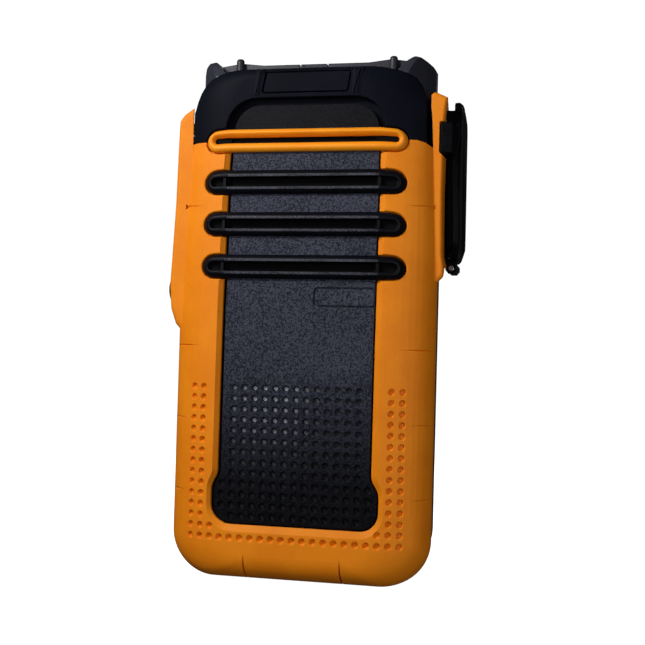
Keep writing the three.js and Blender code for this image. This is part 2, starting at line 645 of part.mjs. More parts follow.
// ---- accessory port and its hinged cover ----
function accessoryPort() {
  const c = 0.35;
  const { x: px, z: pz, r: pr } = COVER_PIN;
  // a rounded block inside the port, inset by t at the sides, by foot below and by head above
  const inPort = (t, foot, head, r, x0, x1) =>
    slabX(roundedRect(PORT.y0 + t, PORT.y1 - t, PORT.z0 + foot, PORT.z1 - head, r), x0, x1);
  const opening = inPort(1.9, 2.3, 1.7, 1.5, 20, 40);
  let frame = inPort(c, c, c, 2.2, 25.8, 27.7);
  frame = cut(frame, opening);
  const arm = polygon([
    [26.2, 66.4],
    [28.6, 66.3],
    [28.7, 64.9],
    [29.3, 64.2],
    [30.4, 64.2],
    [31.0, 64.9],
    [31.0, 65.8],
    [30.3, 66.6],
    [29.0, 67.7],
    [26.2, 67.9],
  ]);
  const arms = [-4.9, -0.3].map((y) => slabY(arm, y, y + 1.2));
  frame = cut(join(frame, ...arms), rodY(px, -10, 10, pz, pr + 0.05, 16));
  node("accessory_frame", frame, RUBBER);

  let jack = inPort(2.4, 3, 2.4, 1.2, 21, 25.8);
  for (let i = 0; i < 7; i++) {
    jack = cut(jack, rodX(25.4, 30, -2, 71 + i * 3, 0.7, 8));
  }
  node("accessory_jack", jack, GOLD);
  node("cover_pin", rodY(px, -4.9, 0.9, pz, pr, 16), STEEL);

  // the cover: outer plate with a pointed pull tab, plug, knuckle and latch tongue
  const plate = polygon([
    [30.0, 67.6],
    [30.8, 67.6],
    [31.3, 69.8],
    [31.2, 88],
    [31.7, 93],
    [31.4, 96],
    [30.8, 98.6],
    [30.5, 100.3],
    [29.7, 100.2],
    [29.5, 97],
    [29.9, 94.8],
  ]);
  const across = slabX(roundedRect(-7.6, 3.6, 67.6, 100.3, 3.4), 27, 34);
  const shell = slabY(plate, -8, 4).intersect(across);
  const plug = inPort(2.3, 2.8, 2.1, 1.2, 26.3, 29.2);
  const shoulder = slabX(roundedRect(-6.6, 2.6, 68.6, 97.8, 2.4), 29.1, 30.3);
  const knuckle = join(rodY(px, -3.4, -0.6, pz, 1.1, 20), box(px - 0.2, 30.9, -3.4, -0.6, pz, 69));
  const tongue = box(27.8, 30.3, -11.2, -6.7, 88.2, 94.4);
  const tongueRoot = box(29.1, 30.3, -7, -5, 88.2, 94.4);
  const cover = join(shell, plug, shoulder, knuckle, tongue, tongueRoot);
  node("accessory_cover", cut(cover, rodY(px, -10, 10, pz, pr + 0.06, 20)), RUBBER);
}

// ---- battery ----
// A rounded outline of the battery in X and Z at depth y, inset from its full size.
function batteryRing(y, inset) {
  const half = BATTERY.half - inset;
  const high = BATTERY.z1 - inset;
  const rTop = Math.max(0.8, BATTERY.rTop - inset);
  const rLow = BATTERY.rLow - inset;
  const ring = [];
  const arc = (x, z, r, start) => {
    for (let i = 0; i <= 6; i++) {
      const a = ((start + 15 * i) * Math.PI) / 180;
      ring.push(new THREE.Vector3(x + r * Math.cos(a), y, z + r * Math.sin(a)));
    }
  };
  arc(half - rTop, high - rTop, rTop, 0);
  arc(rTop - half, high - rTop, rTop, 90);
  arc(rLow - half, inset + rLow, rLow, 180);
  arc(half - rLow, inset + rLow, rLow, 270);
  return ring;
}

// The battery's form from y0 to its back, inset by t, with its back edge rounded by roll.
function batteryForm(t, y0, roll) {
  const steps = 5;
  const rings = [batteryRing(y0, t)];
  for (let i = 0; i <= steps; i++) {
    const a = (i / steps) * (Math.PI / 2);
    const y = BACK_Y - t - BATTERY.roll * (1 - Math.sin(a));
    rings.push(batteryRing(y, t + roll * (1 - Math.cos(a))));
  }
  return loft(rings);
}

function batteryPieces() {
  const pocket = cut(batteryForm(1.3, BATTERY.y0 - 2, 1.6), box(-13, 13, 0, 11.4, -2, 13));
  const latchNotch = box(-11.6, 11.6, 0, 10, -2, 11.6);
  let shell = cut(batteryForm(0, BATTERY.y0, BATTERY.roll), pocket, latchNotch);
  // finger grooves on both flanks
  [-1, 1].forEach((side) => {
    const x = side * (BATTERY.half + 0.4);
    for (let z = 40; z <= 52; z += 4) {
      shell = cut(shell, box(x - 1, x + 1, 7, 11, z - 0.6, z + 0.6));
    }
  });
  node("battery_case", shell, BLACK);

  const lid = slabY(roundedRect(-23.5, 23.5, 13.4, 90.9, 2), BATTERY.y0 + 0.2, BATTERY.y0 + 1.2);
  const pads = [-4, 0, 4];
  let cover = lid;
  pads.forEach((x) => {
    cover = cut(cover, box(x - 1.3, x + 1.3, 0, 10, 82.7, 86.3));
  });
  node("battery_lid", cover, GREY);
  pads.forEach((x, i) => {
    const contact = box(x - 1, x + 1, BATTERY.y0 + 0.1, BATTERY.y0 + 1.5, 83, 86);
    node("battery_contact_" + (i + 1), contact, GOLD);
  });
  const cell = (x0, x1) => slabY(roundedRect(x0, x1, 14, 80, 2.5), 6.6, 13.2, 0.8);
  node("battery_cell_left", cell(-22.9, -0.4), CELL);
  node("battery_cell_right", cell(0.4, 22.9), CELL);
}

// A compression spring on a Z axis.
function coil(x, y, z0, z1, r, wire, turns) {
  class Helix extends THREE.Curve {
    getPoint(t, target = new THREE.Vector3()) {
      const a = t * turns * Math.PI * 2;
      return target.set(x + r * Math.cos(a), y + r * Math.sin(a), z0 + wire + (z1 - z0 - 2 * wire) * t);
    }
  }
  const section = new THREE.Shape();
  section.absarc(0, 0, wire, 0, Math.PI * 2);
  const options = { steps: turns * 10, extrudePath: new Helix(), curveSegments: 2, bevelEnabled: false };
  return solidOf(new THREE.ExtrudeGeometry(section, options));
}

function batteryLatch() {
  const slider = slabY(roundedRect(-9.6, 9.6, 0.8, 5.2, 0.9), 6.5, 9.6);
  let latch = join(slider, ...[-6, 6].map((x) => rodZ(x, 8, 5, 6.6, 0.7, 14)));
  for (let x = -7; x <= 7; x += 2) {
    latch = cut(latch, box(x - 0.4, x + 0.4, 9.2, 10, 1.6, 4.4));
  }
  node("battery_latch", latch, GREY);
  [-6, 6].forEach((x, i) => node("latch_spring_" + (i + 1), coil(x, 8, 5.4, 9.6, 1.15, 0.2, 3), STEEL));
}

// ---- belt clip ----
function beltClip() {
  const { half, pinY, pinZ, z0 } = CLIP;
  const base = slabY(roundedRect(-8, 8, 74, 90, 2), BACK_Y + GAP, BACK_Y + 1.5);
  const ears = [-1, 1].map((side) => {
    const inner = side * 5.6;
    const outer = side * 7.2;
    const ear = polygon([
      [BACK_Y + 1, 79],
      [pinY, pinZ - 1.7],
      [pinY + 1.7, pinZ],
      [pinY, pinZ + 1.7],
      [BACK_Y + 1, 89],
    ]);
    return slabX(ear, Math.min(inner, outer), Math.max(inner, outer));
  });
  node("clip_bracket", cut(join(base, ...ears), rodX(-20, 20, pinY, pinZ, 0.86, 20)), GREY);

  const inner = [
    [20.6, 94],
    [21.3, 88],
    [21.5, 80],
    [20.9, 60],
    [20.0, 40],
    [18.5, 31],
    [17.2, 28],
  ];
  const outer = [
    [17.6, 25.6],
    [19.2, z0],
    [20.9, 27],
    [22.2, 40],
    [23.1, 60],
    [23.6, 80],
    [23.5, 89],
    [22.2, 94.5],
  ];
  const side = slabX(polygon([...inner, ...outer]), -half, half);
  const front = slabY(roundedRect(-half, half, z0, 94.5, 4), 15, 26);
  const lug = cut(rodX(-5.2, 5.2, pinY, pinZ, 1.8, 24), box(-2.9, 2.9, 10, 25, 70, 95));
  const bridge = cut(box(-5.2, 5.2, pinY, 22, pinZ - 1.6, pinZ + 1.6), box(-2.9, 2.9, 10, 25, 70, 95));
  const clip = join(side.intersect(front), lug, bridge);
  node("belt_clip", cut(clip, rodX(-20, 20, pinY, pinZ, 0.88, 20)), BLACK);
  node("clip_pin", rodX(-7.0, 7.0, pinY, pinZ, 0.8, 20), STEEL);
  const spring = cut(rodX(-2.5, 2.5, pinY, pinZ, 1.4, 20), rodX(-5, 5, pinY, pinZ, 0.95, 20));
  node("clip_spring", spring, STEEL);
}

// ---- assembly ----
node("front_housing", makeHousing(), BLACK);
node("orange_jacket", makeJacket(), ORANGE);
node("front_panel", makePanel(), PANEL_BLACK);
RING_Z.forEach((z, i) => node("grille_ring_" + (i + 1), makeRing(z), i === 3 ? ORANGE : BLACK));
const namePlate = roundedRect(-8.9, 9.5, 100.6, 104.7, 0.5);
node("name_plate", slabY(namePlate, FRONT_Y + 0.3, FRONT_Y + 0.8), GREY);
const modelPlate = roundedRect(3.4, 15.7, 56.7, 60.1, 0.7);
node("model_plate", slabY(modelPlate, FRONT_Y + PANEL_D, FRONT_Y + PANEL_D + 0.4), GREY);
node("top_cover", makeTopCover(), BLACK);
node("status_light", box(-3.5, 2.7, RIM.y0, RIM.y1, 104.9, RIM.top), LENS);
speakerPieces();
node("chassis", makeChassis(), ALLOY);
boardPieces();
antennaSocket();
rotary("channel", CHANNEL_X);
rotary("volume", VOLUME_X);
sideControls();
accessoryPort();
batteryPieces();
batteryLatch();
beltClip();

export default radio;
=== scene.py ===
"""A hand-held two way radio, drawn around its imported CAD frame.

Shapes are built in millimetres in the frame's axes (x right, y back, z up) and scaled to metres as each
piece is finished. d is a depth behind the plane of the front face.
"""

import json
import math
from types import SimpleNamespace

import bmesh
import bpy
from mathutils import Matrix, Vector


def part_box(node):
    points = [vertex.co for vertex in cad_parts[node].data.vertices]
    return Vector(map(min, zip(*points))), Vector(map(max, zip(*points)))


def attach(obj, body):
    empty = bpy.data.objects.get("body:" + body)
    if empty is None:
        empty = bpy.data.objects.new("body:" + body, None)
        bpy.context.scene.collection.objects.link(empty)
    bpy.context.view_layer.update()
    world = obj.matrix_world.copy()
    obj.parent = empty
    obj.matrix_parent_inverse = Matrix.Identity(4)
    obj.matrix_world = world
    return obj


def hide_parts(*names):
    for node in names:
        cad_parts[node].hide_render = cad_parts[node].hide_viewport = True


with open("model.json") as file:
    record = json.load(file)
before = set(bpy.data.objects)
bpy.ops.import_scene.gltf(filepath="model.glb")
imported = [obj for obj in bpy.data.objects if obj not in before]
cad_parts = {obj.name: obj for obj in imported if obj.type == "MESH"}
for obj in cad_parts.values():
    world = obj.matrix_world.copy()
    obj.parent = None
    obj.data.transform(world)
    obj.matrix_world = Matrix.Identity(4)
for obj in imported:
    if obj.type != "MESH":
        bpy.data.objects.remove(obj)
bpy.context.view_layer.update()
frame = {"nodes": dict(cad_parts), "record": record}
MM = 0.001


# ---- places taken from the frame ----
def extent(node):
    low, high = (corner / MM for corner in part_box(node))
    return SimpleNamespace(x0=low.x, y0=low.y, z0=low.z, x1=high.x, y1=high.y, z1=high.z)


JACKET = extent("orange_jacket")
HOUSING = extent("front_housing")
PANEL = extent("front_panel")
RINGS = [extent(f"grille_ring_{i}") for i in range(1, 5)]
NAME = extent("name_plate")
MODEL = extent("model_plate")
TOP = extent("top_cover")
LIGHT = extent("status_light")
TALK = extent("ptt_button")
KEY = extent("side_key")
COVER = extent("accessory_cover")
PIN = extent("cover_pin")
CHASSIS = extent("chassis")
BATTERY = extent("battery_case")
CLIP = extent("belt_clip")
CLIP_PIN = extent("clip_pin")

FRONT = JACKET.y0
SPLIT = JACKET.y1
BROW = HOUSING.z1
HALF = BATTERY.x1 + 2.4  # half width of the body at its widest line
CROWN_X = 15.0  # the front is flat out to here
CROWN_D = 7.0  # depth over which it rolls into the sides
FOOT_D = 5.0  # the same for the base
BROW_D = 2.0  # and for the top
TAPER = 0.15  # how fast the sides draw in behind the widest line
HEAD_CURVE = 2.6  # the upper corners are superellipses of this power
# radii along x and z of the body's corners: where the front is flat, and what the widest line adds
FOOT_CORNER = ((5, 4), (4.5, 5.5))
HEAD_CORNER = ((7, 8), (6.2, 4.3))
WALL = 1.6  # of the orange skin
INSET = WALL + 0.3  # from the outer form to the housing inside the skin
CAVITY = INSET + 1.5
KEY_Y = (KEY.y0 + KEY.y1) / 2
BEZEL = 90.5  # top edge of the jacket
FAR = 160  # well outside the body
PANEL_D = PANEL.y0 - FRONT
RING_D = FRONT - RINGS[0].y0  # the bars stand this far in front of the face
RING_HALF = RINGS[0].x1
RING_H = (RINGS[0].z1 - RINGS[0].z0) / 2
RING_Z = [(r.z0 + r.z1) / 2 for r in RINGS]
SLOT_H = 0.85  # half height of the slots in the bars
END_SHIFT = [(0.1, 0.7), (0.25, 0.55), (0.25, 0.45), (0.35, 0.7)]  # of each bar's left and right end
END_X = 16.0  # beyond this the bars' ends hang down and get slimmer
DROOP, DROOP_Z = 0.006, 45.0  # how much they hang for each mm above this height
SLIM = 0.08
SLOT_D = 0.7  # depth of the slots in the panel
PANEL_HALF = PANEL.x1 - 1.4  # above the wider foot
PANEL_GAP = 0.45  # at its left edge
NECK = (PANEL.z0 + 7.3, PANEL.z0 + 9.6)
PITCH = 2.2  # spacing of the moulded dimples
DIMPLE_Z = PANEL.z0 - 3.2  # lowest row
DIMPLE_D = 0.62


# ---- outlines ----
def fillet_path(corners, steps=6):
    """An outline through (u, v, radius) corners, anticlockwise, with each corner rounded."""
    path = []
    for i, (u, v, radius) in enumerate(corners):
        corner = Vector((u, v))
        if radius <= 0:
            path.append(corner)
            continue
        back = (Vector(corners[i - 1][:2]) - corner).normalized()
        ahead = (Vector(corners[(i + 1) % len(corners)][:2]) - corner).normalized()
        half_angle = back.angle(ahead) / 2
        centre = corner + (back + ahead).normalized() * (radius / math.sin(half_angle))
        reach = radius / math.tan(half_angle)
        start = corner + back * reach - centre
        end = corner + ahead * reach - centre
        a0 = math.atan2(start.y, start.x)
        turn = math.atan2(start.x * end.y - start.y * end.x, start.dot(end))
        for k in range(steps + 1):
            a = a0 + turn * k / steps
            path.append(centre + Vector((math.cos(a), math.sin(a))) * radius)
    return path


def rectangle(u0, u1, v0, v1, radius, steps=6):
    return fillet_path([(u0, v0, radius), (u1, v0, radius), (u1, v1, radius), (u0, v1, radius)], steps)


def grown(path, amount):
    """The anticlockwise path moved outwards."""
    out = []
    for i, p in enumerate(path):
        before, after = path[i - 1], path[(i + 1) % len(path)]
        into, away = (p - before).normalized(), (after - p).normalized()
        bisector = Vector((into.y + away.y, -into.x - away.x)).normalized()
        stretch = max(0.5, bisector.dot(Vector((away.y, -away.x))))
        out.append(p + bisector * (amount / stretch))
    return out


def racetrack(half, half_h, bends=12):
    """A long slot outline round the origin, anticlockwise, with the same points at every size."""
    straight = half - half_h
    cuts = [1.0, 0.975, 0.95, 0.9, 0.85, 0.8, 0.0, -0.8, -0.85, -0.9, -0.95, -0.975, -1.0]
    path = []
    for side in (1, -1):
        for k in range(bends + 1):
            a = math.radians(-90 + 180 * k / bends)
            path.append(Vector((side * (straight + half_h * math.cos(a)), side * half_h * math.sin(a))))
        path += [Vector((side * straight * c, side * half_h)) for c in cuts[1:-1]]
    return path


def crown(x):
    """Depth of the front face at x."""
    k = min(1.0, max(0.0, abs(x) - CROWN_X) / (HALF - CROWN_X))
    return CROWN_D * (1 - math.sqrt(1 - k * k))


# ---- solids, in millimetres ----
def placed(name, data):
    obj = bpy.data.objects.new(name, data)
    bpy.context.scene.collection.objects.link(obj)
    return obj


def from_bmesh(name, made):
    mesh = bpy.data.meshes.new(name)
    made.to_mesh(mesh)
    made.free()
    return placed(name, mesh)


def solid(name, points, faces):
    mesh = bpy.data.meshes.new(name)
    mesh.from_pydata([tuple(p) for p in points], [], faces)
    made = bmesh.new()
    made.from_mesh(mesh)
    bmesh.ops.remove_doubles(made, verts=made.verts, dist=1e-5)
    bmesh.ops.recalc_face_normals(made, faces=made.faces)
    made.to_mesh(mesh)
    made.free()
    return placed(name, mesh)


def loft(name, loops, ring=False):
    """A solid through closed loops with the same number of points. ring joins the last loop to the first."""
    n = len(loops[0])
    points = [p for loop in loops for p in loop]
    faces = []
    count = len(loops)
    for k in range(count if ring else count - 1):
        a, b = k * n, ((k + 1) % count) * n
        faces += [(a + i, a + (i + 1) % n, b + (i + 1) % n, b + i) for i in range(n)]
    if not ring:
        faces += [tuple(range(n)), tuple(range((count - 1) * n, count * n))]
    return solid(name, points, faces)


def in_front(path, d):
    """The outline in x and z at depth d."""
    return [(p.x, FRONT + d, p.y) for p in path]


def stepped(name, path, profile):
    """A solid whose outline in x and z changes with depth; the profile lists (depth, growth)."""
    return loft(name, [in_front(grown(path, g), d) for d, g in profile])


def on_crown(path, z, d):
    """A bar's outline laid on the rolled front, round height z, at depth d behind the face."""
    out = []
    for p in path:
        k = min(1.0, max(0.0, abs(p.x) - END_X) / 5)
        out.append((p.x, FRONT + crown(p.x) + d, z + p.y * (1 - SLIM * k) - DROOP * (z - DROOP_Z) * k))
    return out


def stretched(path, i):
    """Bar i's outline with its two ends moved to the right."""
    left, right = END_SHIFT[i]
    return [Vector((p.x + (right if p.x > 15 else left if p.x < -15 else 0), p.y)) for p in path]


def slab(name, path, y0, y1, edge=0.0):
    """An outline in x and z with depth along y and rounded edges."""
    loops = []
    if edge > 0:
        turns = [math.radians(a) for a in (0, 30, 60, 90)]
        loops += [(y0 + edge * (1 - math.sin(a)), -edge * (1 - math.cos(a))) for a in reversed(turns)]
        loops += [(y1 - edge * (1 - math.sin(a)), -edge * (1 - math.cos(a))) for a in turns]
    else:
        loops = [(y0, 0), (y1, 0)]
    return loft(name, [[(p.x, y, p.y) for p in grown(path, g)] for y, g in loops])


def turned(obj, matrix):
    obj.data.transform(matrix)
    if matrix.determinant() < 0:
        obj.data.flip_normals()
    return obj


# these swap x or z with y, so that a slab's depth or a lathe's axis runs along x or z
TO_X = Matrix(((0, 1, 0, 0), (1, 0, 0, 0), (0, 0, 1, 0), (0, 0, 0, 1)))
TO_Z = Matrix(((1, 0, 0, 0), (0, 0, 1, 0), (0, 1, 0, 0), (0, 0, 0, 1)))


def slab_x(name, path, x0, x1, edge=0.0):
    return turned(slab(name, path, x0, x1, edge), TO_X)


def box(name, x0, x1, y0, y1, z0, z1):
    return slab(name, [Vector(p) for p in ((x0, z0), (x1, z0), (x1, z1), (x0, z1))], y0, y1)


def lathe(name, profile, sides=24):
    """A turned solid on the y axis from (radius, y) points that start and end on the axis."""
    points, faces = [(0, profile[0][1], 0), (0, profile[-1][1], 0)], []
    middle = profile[1:-1]
    for r, y in middle:
        for i in range(sides):
            a = 2 * math.pi * i / sides
            points.append((r * math.cos(a), y, r * math.sin(a)))
    for k in range(len(middle) - 1):
        a, b = 2 + k * sides, 2 + (k + 1) * sides
        faces += [(a + i, a + (i + 1) % sides, b + (i + 1) % sides, b + i) for i in range(sides)]
    last = 2 + (len(middle) - 1) * sides
    faces += [(0, 2 + (i + 1) % sides, 2 + i) for i in range(sides)]
    faces += [(1, last + i, last + (i + 1) % sides) for i in range(sides)]
    return solid(name, points, faces)


def rod(name, radius, y0, y1, sides=24):
    """A cylinder on the y axis."""
    return lathe(name, [(0, y0), (radius, y0), (radius, y1), (0, y1)], sides)


def gathered(name, parts):
    """Several solids that don't touch as one object."""
    made = bmesh.new()
    for part in parts:
        made.from_mesh(part.data)
        bpy.data.objects.remove(part)
    return from_bmesh(name, made)


def applied(obj):
    """The object with its modifiers applied."""
    view = bpy.context.evaluated_depsgraph_get()
    mesh = bpy.data.meshes.new_from_object(obj.evaluated_get(view))
    obj.modifiers.clear()
    obj.data = mesh
    return obj


def combined(body, tool, operation):
    """The body after a boolean operation that uses the tool up."""
    modifier = body.modifiers.new("form", "BOOLEAN")
    modifier.operation = operation
    modifier.solver = "MANIFOLD"
    modifier.object = tool
    applied(body)
    bpy.data.objects.remove(tool)
    return body


def cut(body, *tools):
    for tool in tools:
        combined(body, tool, "DIFFERENCE")
    return body


def join(body, *others):
    for other in others:
        combined(body, other, "UNION")
    return body


def common(body, other):
    return combined(body, other, "INTERSECT")


# ---- the body's outer form ----
# t is how far a form lies inside the outermost one
def rolled(d, t, size):
    """How far an edge rolled over the depth size has drawn in at depth d."""
    if t >= size or d >= size:
        return t
    k = (size - d) / (size - t)
    return size - (size - t) * math.sqrt(max(0.0, 1 - k * k))


def half_width(d, t):
    """Half the form's width at depth d."""
    if d >= CROWN_D:
        return HALF - t - TAPER * (d - CROWN_D)
    k = (CROWN_D - d) / (CROWN_D - t)
    return CROWN_X + (HALF - CROWN_X - t) * math.sqrt(max(0.0, 1 - k * k))


def body_loop(d, t, steps=14):
    """The form's outline at depth d."""
    half = half_width(d, t)
    bottom = rolled(d, t, FOOT_D)
    top = BROW - rolled(d, t, BROW_D)
    f = (half - CROWN_X) / (HALF - CROWN_X)
    foot, head = ([flat + (added - t) * f for flat, added in zip(*form)]
                  for form in (FOOT_CORNER, HEAD_CORNER))
    corners = [
        (half - head[0], top - head[1], head, 0, HEAD_CURVE),
        (head[0] - half, top - head[1], head, 90, HEAD_CURVE),
        (foot[0] - half, bottom + foot[1], foot, 180, 2.0),
        (half - foot[0], bottom + foot[1], foot, 270, 2.0),
    ]
    loop = []
    for x, z, (rx, rz), start, power in corners:
        for i in range(steps + 1):
            a = math.radians(start + 90 * i / steps)
            u, v = (math.copysign(abs(c) ** (2 / power), c) for c in (math.cos(a), math.sin(a)))
            loop.append((x + rx * u, FRONT + d, z + rz * v))
    return loop


def body_form(name, t, y_end, levels=12):
    """The body's form from its rolled front back to y_end."""
    depths = [t + (CROWN_D - t) * (1 - math.cos(math.radians(90 * i / levels))) for i in range(levels + 1)]
    return loft(name, [body_loop(d, t) for d in [*depths, y_end - FRONT]])


def panel_path(gap=0.0, wide=0.0):
    """The panel's outline. gap moves its left edge in; wide moves its right edge and its foot out."""
    half, foot = PANEL_HALF + wide, PANEL.x1 + wide
    low = PANEL.z0 - 0.25 - wide
    right = [(foot - 0.1, low, 3.5 + wide), (foot - 0.1, NECK[0], 4.0), (half - 0.3, NECK[1], 4.0),
             (half - 0.25, 50, 60), (half, 80, 60), (half - 0.2, PANEL.z1, 5.2)]
    half, foot = PANEL_HALF, PANEL.x1
    left = [(-foot, low, 3.9 + wide), (-foot, NECK[0], 4.0), (-half - 0.1, NECK[1], 4.0),
            (-half - 0.05, 55, 60), (0.45 - half, 84, 60), (1.15 - half, PANEL.z1, 5.2)]
    return fillet_path([*right, *[(x + gap, z, r) for x, z, r in reversed(left)]], 8)


def bar_tool(name, z, half, half_h, profile):
    """A cutting tool in a bar's outline that follows the rolled front; the profile lists (depth, growth)."""
    i = min(range(4), key=lambda k: abs(RING_Z[k] - z))
    return loft(name, [on_crown(stretched(racetrack(half + g, half_h + g), i), z, d) for d, g in profile])


def above_jacket(name, rise):
    """The region above the jacket's top edge, which turns down at its ends."""
    edge = [(-40, -3), (-27, -1.6), (-26, -1.0), (-25, -0.35), (-23.5, 0), (23.5, 0), (25, -0.35), (26, -1.0),
            (27, -1.6), (40, -3)]
    path = [Vector((x, BEZEL + drop + rise)) for x, drop in edge] + [Vector((40, 140)), Vector((-40, 140))]
    return slab(name, path, FRONT - 3, SPLIT + 9)


# ---- side lobes ----
# Their front edges lean forwards towards the top; front is the depth of that edge at height LOBE_Z.
LOBE_X = 24.4
LOBE_Z = 76.0
LOBE_LEAN = 0.042
LEFT_LOBE = SimpleNamespace(side=-1, front=-12.1, corners=[
    (LOBE_X, 50.6, 0), (26.4, 50.8, 1.0), (28.0, 52.5, 1.6), (29.15, 55.8, 5.0), (29.45, 61, 6.0),
    (29.1, 66.5, 8.0), (28.4, 78, 8.0), (27.9, 92, 6.0), (27.7, 95.6, 1.5), (26.6, 97.0, 2.0),
    (LOBE_X, 98.4, 0),
])
RIGHT_LOBE = SimpleNamespace(side=1, front=-10.4, corners=[
    (LOBE_X, 61.8, 0), (27.6, 61.9, 1.2), (28.9, 63.2, 1.2), (29.0, 64.9, 2.0), (28.6, 67.5, 3.0),
    (28.4, 80, 8.0), (28.6, 94, 6.0), (28.9, 97.6, 2.0), (29.2, 99.6, 0.3), (27.2, 100.5, 1.0),
    (26.5, 100.7, 0.4), (25.7, 100.1, 0.4), (LOBE_X, 99.7, 0),
])
PORT_Z = (65.0, 95.0)  # between these heights the right lobe carries the accessory cover
LOBE_TAPER = 0.12  # how fast the rest of it draws in


def lobe(name, form, grow=0.0, bends=6):
    """A side lobe with a rounded front edge; its ends draw in towards the back."""
    path = fillet_path(form.corners, 5)
    edge = 1.3 if form.side < 0 else 0.75
    reach = max(p.x for p in path) - LOBE_X
    middle = (min(p.y for p in path) + max(p.y for p in path)) / 2
    tall = max(p.y for p in path) - middle
    turns = [math.radians(90 * k / bends) for k in range(bends + 1)]
    levels = [(form.front + edge * (1 - math.cos(a)), edge * (1 - math.sin(a)), LOBE_LEAN) for a in turns]
    loops = []
    rear = SPLIT + 3
    for y, inset, lean in [*levels, (rear, 0, 0)]:
        loop = []
        for p in path:
            out = (p.x - LOBE_X) * (1 - inset / reach)
            spread = 1 - (inset - grow) / tall
            z = middle + (p.y - middle) * spread
            if y == rear and form.side > 0 and not PORT_Z[0] < p.y < PORT_Z[1]:
                out -= LOBE_TAPER * (rear - form.front) * min(1.0, out)
                z += 2.0 if p.y < PORT_Z[0] else 0.0
            out = out + grow if out > 0 else -grow
            loop.append((form.side * (LOBE_X + out), y - grow - lean * (p.y - LOBE_Z), z))
        loops.append(loop)
    return loft(name, loops)


# ---- dimples ----
DIMPLE_PROFILE = [  # (radius, height over the face)
    (0, -DIMPLE_D), (0.42, -DIMPLE_D), (0.56, -0.52), (0.63, -0.2), (0.7, -0.06),
    (0.82, -0.005), (1.0, 0.06), (1.0, 0.4), (0, 0.4),
]


def dimple(x, z, d, scale, sides):
    """One dimple's tool, square to the rolled front at x."""
    step = 0.05
    slope = (crown(x + step) - crown(x - step)) / (2 * step)
    tool = lathe("dimple", [(r * scale, -h * scale) for r, h in DIMPLE_PROFILE], sides)
    turn = Matrix.Rotation(math.atan(slope), 4, "Z")
    return turned(tool, Matrix.Translation((x, FRONT + crown(x) + d, z)) @ turn)


def dimples(name, places, d, scale, sides=18):
    return gathered(name, [dimple(x, z, d, scale, sides) for x, z in places])


def grid(columns, row):
    return [((c - 10) * PITCH, DIMPLE_Z + row * PITCH) for c in columns]


JACKET_DIMPLES = grid(range(21), 0) + grid((0, 1, 2, 18, 19, 20), 1)
for row in range(2, 15):
    JACKET_DIMPLES += grid((0, 1, 19, 20), row)
PANEL_DIMPLES = grid(range(4, 17), 2)
for row in range(3, 15):
    PANEL_DIMPLES += grid(range(3, 18) if row < 6 else range(4, 17), row)


# ---- materials ----
def linear(colour):
    """An sRGB colour of 0 to 255 as the shader's linear values."""
    return tuple((c / 255 / 12.92) if c < 11 else ((c / 255 + 0.055) / 1.055) ** 2.4 for c in colour)


